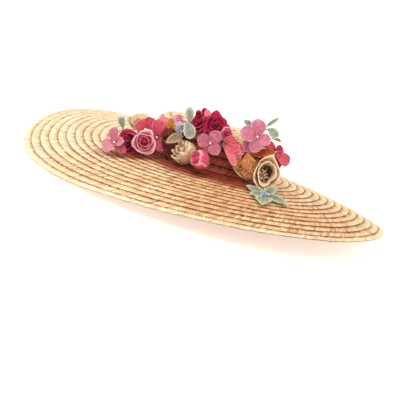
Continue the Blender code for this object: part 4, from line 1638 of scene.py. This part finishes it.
@dataclass(frozen=True)
class NetLeaf(Leaf):
    """Skeleton leaf of crinkled copper gauze, with a wired edge, veins and a raised net."""

    meshes: int = 5
    crumple: float = 1.2 * MM
    gauze: NetFinish | None = None

    def build(self, brim: Brim, crown: Crown) -> None:
        """Make the gauze, edge wire, veins, net and stem.

        Args:
            brim: Brim that carries it.
            crown: Crown that carries it.
        """
        web = Workshop()
        across = np.linspace(-1, 1, 23)[:, None] + np.zeros((1, 41))
        along = np.linspace(0, 1, 41)[None] + np.zeros((23, 1))
        luck = np.random.default_rng(3)
        rough = luck.normal(0, 0.35 * MM, across.shape) * (1 - across ** 4)
        grid = self.line(across, along, self.crumple) + rough[..., None] * np.array(self.facing)
        web.sheet(grid, 0.3 * MM, along, across)
        web.piece(self.name + "_gauze", self.gauze, self.slot, (self.name,))
        net = Workshop()
        run = np.linspace(0, 1, 28)
        for edge in (-1, 1):
            net.tube(self.line(np.full(28, float(edge)), run, self.crumple), np.full(28, 0.5 * MM), 6)
        net.tube(self.line(np.zeros(28), run, self.crumple), np.linspace(0.7, 0.4, 28) * MM, 6)
        for number in range(7):
            reach = np.linspace(0, 1, 9)
            start = np.clip(0.06 + number * 0.12 + reach * 0.16, 0, 1)
            for edge in (-1, 1):
                net.tube(self.line(edge * reach, start, self.crumple), np.full(9, 0.4 * MM), 5)
        for slope in (-1, 1):
            for number in range(-self.meshes, 2 * self.meshes):
                reach = np.linspace(-1, 1, 15)
                place = number / self.meshes + slope * reach * 0.32 + 0.15 + luck.uniform(-0.05, 0.05)
                place = place + 0.04 * np.sin(reach * 4 + number)
                inside = (place > 0.02) & (place < 0.98)
                if inside.sum() > 3:
                    path = self.line(reach[inside], place[inside], self.crumple)
                    net.tube(path + 0.25 * MM * np.array(self.facing), np.full(inside.sum(), 0.3 * MM), 5)
        net.piece(self.name + "_net", self.finish, self.slot)
        self.wire(self.base, brim, crown)


@dataclass(frozen=True)
class BerryBunch:
    """Bunch of small berries on fine wires."""

    name: str
    middle: Vector
    root: Root
    spread: float
    berry: float
    count: int
    replaces: tuple[str, ...] = ()

    def build(self, brim: Brim, crown: Crown) -> None:
        """Make the berries and their wires.

        Args:
            brim: Brim that carries them.
            crown: Crown that carries them.
        """
        luck = np.random.default_rng(len(self.name))
        fruit, wires = Workshop(), Workshop()
        foot = np.array(self.root.point(brim, crown))
        middle = np.array(self.middle)
        gather = middle * 0.4 + foot * 0.6
        for number in range(self.count):
            turn = number * GOLDEN_TURN
            reach = self.spread * math.sqrt((number + 0.4) / self.count)
            place = middle + np.array([math.cos(turn) * reach, -0.35 * reach * luck.uniform(0.2, 1.4),
                                       math.sin(turn) * reach])
            fruit.ball(place, self.berry * luck.uniform(0.85, 1.1), sides=12, dimple=0.18)
            wires.tube(between(place, gather, 6), np.full(6, FINE_WIRE), 5)
        fruit.piece(self.name + "_fruit", BERRY, "berry_glaze", self.replaces)
        wires.tube(between(gather, foot, 6), np.full(6, BUNCH_WIRE), 6)
        wires.piece(self.name + "_wires", TAPE, "sage_leaf")


@dataclass
class Spray:
    """All flowers, leaves and berries across the front of the hat."""

    brim: Brim
    crown: Crown

    @staticmethod
    def florets() -> tuple[Floret, ...]:
        """Hydrangea florets from left to right.

        Returns:
            The florets.
        """
        return (
            Floret("floret_left", Perch(spot(-126.7, -113, 30.5), -22, 24), Root(-121, -100), (
                Petal(111, 20.5, 14, 18, 0.2, cup=0.5), Petal(231, 18, 19, 8, -0.3),
                Petal(20, 15, 13, 20, -0.1), Petal(-20, 21, 13, -2, 1.0)), PINK_SILK, "hydrangea_silk"),
            Floret("coral_floret_left", Perch(spot(-95.7, -80, 53.5), -14, 30), Root(-90, -68), (
                Petal(166, 16, 17, 14, 0.15), Petal(72, 19, 18, 16, 0.5), Petal(10, 14, 13, 8, 0.1),
                Petal(118, 17, 15, 2, 0.4)), CORAL_SILK, "coral_silk"),
            Floret("coral_floret_inner", Perch(spot(-78, -90, 49.5), 12, 18), Root(-74, -79), (
                Petal(98, 25, 18, 12, 0.15, cup=0.35), Petal(-47, 20, 15, 8, 0.1),
                Petal(158, 14, 13, 10, 0.3), Petal(84, 31, 13, 4, -0.9), Petal(66, 27, 10, 0, -1.0)),
                CORAL_SILK, "coral_silk"),
            Floret("lilac_floret", Perch(spot(-58.5, -79, 78), -10, 40), Root(-56, -50), (
                Petal(60, 9, 9, 16, 0.9), Petal(180, 10, 10, 12, 0.2), Petal(-60, 10, 10, 10),
                Petal(110, 9, 9, 4, 0.9)), LILAC_SILK, "lilac_silk", pearl_radius=0.9 * MM),
            # Higher tints darken this floret's petals: painted shade.
            Floret("floret_middle", Perch(spot(-8.4, -111, 66.6), 4, 20), Root(-8, 58, True), (
                Petal(178, 18, 18, 14, 0.5), Petal(67, 20, 17, 16, 0.5), Petal(-39, 18, 16, 8, 0.4),
                Petal(256, 13, 13, 6, 0.6)), PINK_SILK, "hydrangea_silk"),
            Floret("coral_floret_right", Perch(spot(8, -105, 70.5), 16, 12), Root(22, 56, True), (
                Petal(-51, 34, 10.5, 24, -0.4, widest=0.78, twist=12),
                Petal(-12, 30, 21, 12, -0.15, widest=0.7, cup=0.5), Petal(35, 18, 14, 14, -0.15),
                Petal(2, 23, 18, 24, 0.1, cup=0.45, curl=0.0), Petal(-16, 27, 12, 26, -0.05, widest=0.7)),
                CORAL_SILK, "coral_silk", pearl_radius=0.7 * MM),
            Floret("floret_right", Perch(spot(47.9, -87, 89.6), 10, 28), Root(43, -60), (
                Petal(182, 26, 22, 14), Petal(102, 24.5, 21, 18, 0.1), Petal(-9, 19, 17, 12, -0.1),
                Petal(267, 22, 18, 4, 0.15), Petal(238, 27, 14, -8, 0.15)), PINK_SILK, "hydrangea_silk"),
            Floret("magenta_floret", Perch(spot(77, -76, 77), 32, 10), Root(62, 60, True), (
                Petal(-27, 28, 17, 8, -0.15, widest=0.68), Petal(38, 12, 14, 14, 0.8),
                Petal(-60, 25, 11, 4, 1.0), Petal(-8, 13, 13, 16, 1.0), Petal(150, 20, 14, -6, 0.2)),
                CORAL_SILK, "coral_silk", ((0, 0), (-1.5, -4.5)), 1.2 * MM),
        )

    @staticmethod
    def roses() -> tuple[Rose, ...]:
        """Roses from left to right.

        Returns:
            The roses.
        """
        return (
            Rose("burgundy_rose_left", Perch(spot(-111.5, -91, 33), -20, 16), Root(-107, -78),
                 14 * MM, 17 * MM, 0.9, Form.FOLDED, BURGUNDY_VELVET, "burgundy_velvet"),
            Rose("spiral_rose", Perch(spot(-90.4, -108, 41.9), 6, 14), Root(-88, -92),
                 13.4 * MM, 20 * MM, 0.94, Form.SPIRAL, ROSE_SILK, "rose_silk", tint=0.12),
            Rose("cream_rose_back", Perch(spot(-108.5, -54, 55.8), -10, 58), Root(-104, -44),
                 16.8 * MM, 18 * MM, 1.0, Form.OPEN, CREAM_SILK, "cream_silk", tint=-0.95, beads=0),
            Rose("cream_rose", Perch(spot(-35.2, -106, 44.8), -62, 26), Root(-24, -100),
                 16.5 * MM, 26 * MM, 1.0, Form.CLOSED, CREAM_SILK, "cream_silk"),
            Rose("rosebud_front", Perch(spot(-14.2, -129, 45.4), -46, 10), Root(-12, -114),
                 13 * MM, 23 * MM, 1.0, Form.BUD, ROSE_SILK, "rose_silk", tint=0.25),
            Rose("burgundy_rose_top_left", Perch(spot(-30, -84, 86), -24, 14), Root(-27, -69),
                 16.5 * MM, 18 * MM, 0.62, Form.RUFFLED, BURGUNDY_VELVET, "burgundy_velvet", tint=-0.4),
            Rose("burgundy_rose_top_right", Perch(spot(-9.8, -89, 89.5), 4, 16), Root(-8, -74),
                 14 * MM, 20 * MM, 0.98, Form.RUFFLED, BURGUNDY_VELVET, "burgundy_velvet", tint=0.12),
            Rose("small_rose", Perch(spot(8.8, -98.5, 83), 10, 12), Root(10, 58, True),
                 7.5 * MM, 12 * MM, 1.0, Form.SPIRAL, ROSE_SILK, "rose_silk", tint=0.5),
            Rose("taupe_rose", Perch(spot(72.5, -105, 50.8), 8, 10), Root(70, -86),
                 21 * MM, 24 * MM, 0.74, Form.OPEN, TAUPE_SILK, "taupe_silk", cloth=0.9 * MM),
        )

    @staticmethod
    def leaves() -> tuple[Leaf, ...]:
        """Loose leaves and petals from left to right.

        Returns:
            The leaves and petals.
        """
        return (
            Leaf("leaf_bud_left", Root(-127, -74), spot(-124, -85, 46), spot(-131.8, -86, 61), 10,
                 SAGE_LEAF, "sage_leaf", 0, 3, 0.72, 2.2),
            Leaf("russet_leaf", Root(-60, -86), spot(-62.6, -91, 68), spot(-72, -93, 54), 9.5,
                 RUSSET_LEAF, "orange_leaf", stands_in=False),
            Leaf("ochre_leaf", Root(-66, -76), spot(-62.6, -90, 62), spot(-67.5, -90, 80), 10.5,
                 OCHRE_LEAF, "ochre_leaf", 1, 1, 0.6, 2.3),
            # Dark blades put where the flowers' shade falls: painted shade, not pieces of the spray.
            Leaf("umber_leaf", Root(-58, -84), spot(-68, -87, 58), spot(-57, -94, 33), 15,
                 SHADE_FILLER_LEAF, "burgundy_velvet", stands_in=False),
            Leaf("dark_petal_left", Root(-34, -80), spot(-38, -92, 70), spot(-42, -96, 49), 18,
                 SHADE_FILLER_LEAF, "burgundy_velvet", stands_in=False),
            Leaf("dark_petal_front", Root(-101, -90), spot(-108, -102, 35.5), spot(-91, -103.5, 23), 9,
                 SHADE_FILLER_LEAF, "burgundy_velvet", 1, 1, 0.55, 1.9, stands_in=False),
            Leaf("silver_leaf_upper", Root(-47, -60), spot(-41.7, -93.3, 81), spot(-48.4, -92, 102), 11.5,
                 SILVER_PLUSH, "silver_plush", 1, 1.5, 0.6, 2.1),
            Leaf("silver_leaf_lower", Root(-52, -56), spot(-46, -101, 83), spot(-34, -106, 64), 17,
                 SILVER_PLUSH, "silver_plush", 2, 2.5, 0.55, 2.2, Margin.SCALLOPED, 5, 0.14),
            Leaf("grey_leaf", Root(-40, 60, True), spot(-45, -101, 64.3), spot(-63, -107.5, 50.2), 13,
                 GREY_PLUSH, "silver_plush", 2, 1, 0.42, 1.7),
            Leaf("rose_petal_top", Root(-14, -70), spot(-22, -86, 92), spot(-24.5, -85, 104.5), 9,
                 CORAL_SILK, "coral_silk", 1, 1, 0.6, 2.0, stands_in=False, tint=-0.6),
            Leaf("crimson_petal", Root(4, -70), spot(-1, -93, 83.5), spot(8.5, -92, 93.5), 10,
                 BURGUNDY_VELVET, "burgundy_velvet", 1.5, 1.5, 0.6, 2.2, Margin.SCALLOPED, 3, 0.2,
                 stands_in=False, tint=0.6),
            Leaf("ochre_leaf_small", Root(36, 56, True), spot(36.2, -98.5, 60), spot(33.4, -104.5, 45.5),
                 7.5, OCHRE_LEAF, "ochre_leaf", 0.5, 0.8, 0.5, 2.0),
            NetLeaf("gold_leaf", Root(37, 64, True), spot(42, -95, 67), spot(56, -100, 35), 20.5,
                    COPPER_NET, "copper_mesh", 1, 0.6, 0.5, 2.0, gauze=COPPER_GAUZE),
            Leaf("tan_leaf", Root(24, 46, True), spot(29, -96, 43.6), spot(55.5, -93, 34), 10.5,
                 TAN_LEAF, "copper_mesh", 1, 0.8, 0.5, 2.0),
            Leaf("orange_leaf", Root(41, 58, True), spot(45, -87, 63), spot(76, -86, 78.5), 12,
                 ORANGE_LEAF, "orange_leaf", 1, 1, 0.6, 1.8),
            Leaf("sage_leaf_left", Root(33, -66), spot(37, -76, 100), spot(24.5, -76, 104), 9,
                 SAGE_LEAF, "sage_leaf"),
            Leaf("sage_leaf_right", Root(51, -54), spot(55.3, -74, 104.5), spot(68.2, -74, 120.6), 6,
                 SAGE_LEAF, "sage_leaf", 1, 0.8, 0.55, 2.0),
            Leaf("green_leaf_right", Root(57, -48), spot(58, -78, 103.5), spot(75, -77, 96), 14,
                 SAGE_LEAF, "sage_leaf", 1, 1, 0.5, 1.9),
            Leaf("ochre_leaf_tip", Root(60, -46), spot(68, -79.5, 93.6), spot(80.5, -77, 92.6), 5,
                 OCHRE_LEAF, "ochre_leaf", 0.5, 0.6, 0.5, 1.7, stands_in=False),
        )

    def cluster(self) -> None:
        """Serrated leaves with blue berries, lying low on the brim."""
        heart = spot(77, -141, 29)
        cloth = Workshop()
        rows = ((spot(52, -124, 31), 19, 1), (spot(75, -182, 24.5), 26, 1), (spot(110, -149, 27.5), 22, 2),
                (spot(91, -117, 39.5), 18, 1), (spot(58, -155, 28), 18, 1))
        for tip, width, bow in rows:
            Leaf("blade", None, heart, tip, width, CLUSTER_LEAF, "sage_leaf", bow, 1, 0.42, 1.4,
                 Margin.SAWN, 5, 0.34, FACING_UP).sheet(cloth)
        cloth.piece("leaf_cluster_blades", CLUSTER_LEAF, "sage_leaf", ("leaf_cluster",))
        BerryBunch("leaf_cluster", heart + Vector((-0.5 * MM, -3 * MM, 1.2 * MM)), Root(76, -130), 5.5 * MM,
                   2.2 * MM, 10).build(self.brim, self.crown)

    def build(self) -> None:
        """Make every flower, leaf and bunch."""
        for row in (*self.florets(), *self.roses(), *self.leaves()):
            row.build(self.brim, self.crown)
        BerryBunch("berries_top", spot(-50.5, -99, 71.5), Root(-57, -89), 6.5 * MM, 1.7 * MM, 13,
                   ("berries_top",)).build(self.brim, self.crown)
        self.cluster()


@dataclass
class Studio:
    """Camera at the photo's angle, pale sweep of paper and soft lights."""

    elevation_deg: float = 12.31
    roll_deg: float = 17.56
    distance: float = 1.307
    aim: tuple[float, float, float] = (0.0013, 0.0, -0.0327 + LIFT)
    lens: float = 82.14
    sensor: float = 36.0
    key_power: float = 19.0
    fill_power: float = 4.4
    air: float = 0.5
    flat_radius: float = 3.0
    bend_radius: float = 2.5
    wall_top: float = 6.0

    def camera(self) -> None:
        """Stand the camera where the photo was taken from."""
        lift = math.radians(self.elevation_deg)
        back = Vector((0, -math.cos(lift), math.sin(lift)))
        data = bpy.data.cameras.new("camera")
        data.lens, data.sensor_width = self.lens, self.sensor
        made = bpy.data.objects.new("camera", data)
        level = (-back).to_track_quat("-Z", "Y").to_matrix().to_4x4()
        made.matrix_world = (Matrix.Translation(Vector(self.aim) + back * self.distance) @ level
                             @ Matrix.Rotation(math.radians(self.roll_deg), 4, "Z"))
        bpy.context.scene.collection.objects.link(made)
        bpy.context.scene.camera = made

    def paper(self) -> None:
        """Floor that sweeps up into a backdrop, all round."""
        angles = np.linspace(0, 2 * math.pi, 96, endpoint=False)[:, None]
        bend = np.linspace(0, math.pi / 2, 14)[1:]
        flat, curve = self.flat_radius, self.bend_radius
        radius = np.concatenate([[0.001, 0.6, 1.5, flat], flat + curve * np.sin(bend), [flat + curve]])
        height = np.concatenate([[0, 0, 0, 0], curve - curve * np.cos(bend), [self.wall_top]])
        grid = np.stack([np.cos(angles) * radius, np.sin(angles) * radius, height + 0 * angles], -1)
        sweep = Workshop()
        sweep.skin(grid, np.zeros((1, len(radius))), np.zeros((96, 1)), ring=True)
        sweep.flip()
        made = mesh_piece("studio_floor", np.concatenate(sweep.points), np.concatenate(sweep.faces), {})
        made.data.materials.append(StudioFinish().make())

    @staticmethod
    def light(name: str, place: Vector, aim: Vector, size: float, power: float) -> None:
        """Hang one square soft light.

        Args:
            name: Name of the light.
            place: Where it hangs.
            aim: What it points at.
            size: Side of its square.
            power: Its power in watts.
        """
        data = bpy.data.lights.new(name, "AREA")
        data.size, data.energy = size, power
        made = bpy.data.objects.new(name, data)
        made.location = place
        made.rotation_mode = "QUATERNION"
        made.rotation_quaternion = (aim - place).to_track_quat("-Z", "Y")
        bpy.context.scene.collection.objects.link(made)

    def build(self) -> None:
        """Set up camera, paper, lights and the white world."""
        scene = bpy.context.scene
        self.camera()
        self.paper()
        self.light("key_light", Vector((-0.65, -0.7, 1.9)), Vector((0, 0, 0.03)), 1.0, self.key_power)
        self.light("fill_light", Vector((0.9, -1.6, 1.0)), Vector((0, 0, 0.05)), 1.4, self.fill_power)
        world = bpy.data.worlds.new("studio_air")
        world.use_nodes = True
        inputs = world.node_tree.nodes["Background"].inputs
        inputs["Color"].default_value = (1, 1, 1, 1)
        inputs["Strength"].default_value = self.air
        scene.world = world
        scene.view_settings.view_transform = "Standard"


def main() -> None:
    """Build the studio and the hat in order."""
    logging.basicConfig(level=logging.INFO, format="%(message)s")
    Studio().build()
    brim = Brim()
    crown = Crown(brim=brim)
    brim.build()
    crown.build()
    Spray(brim, crown).build()


if __name__ == "__main__":
    main()
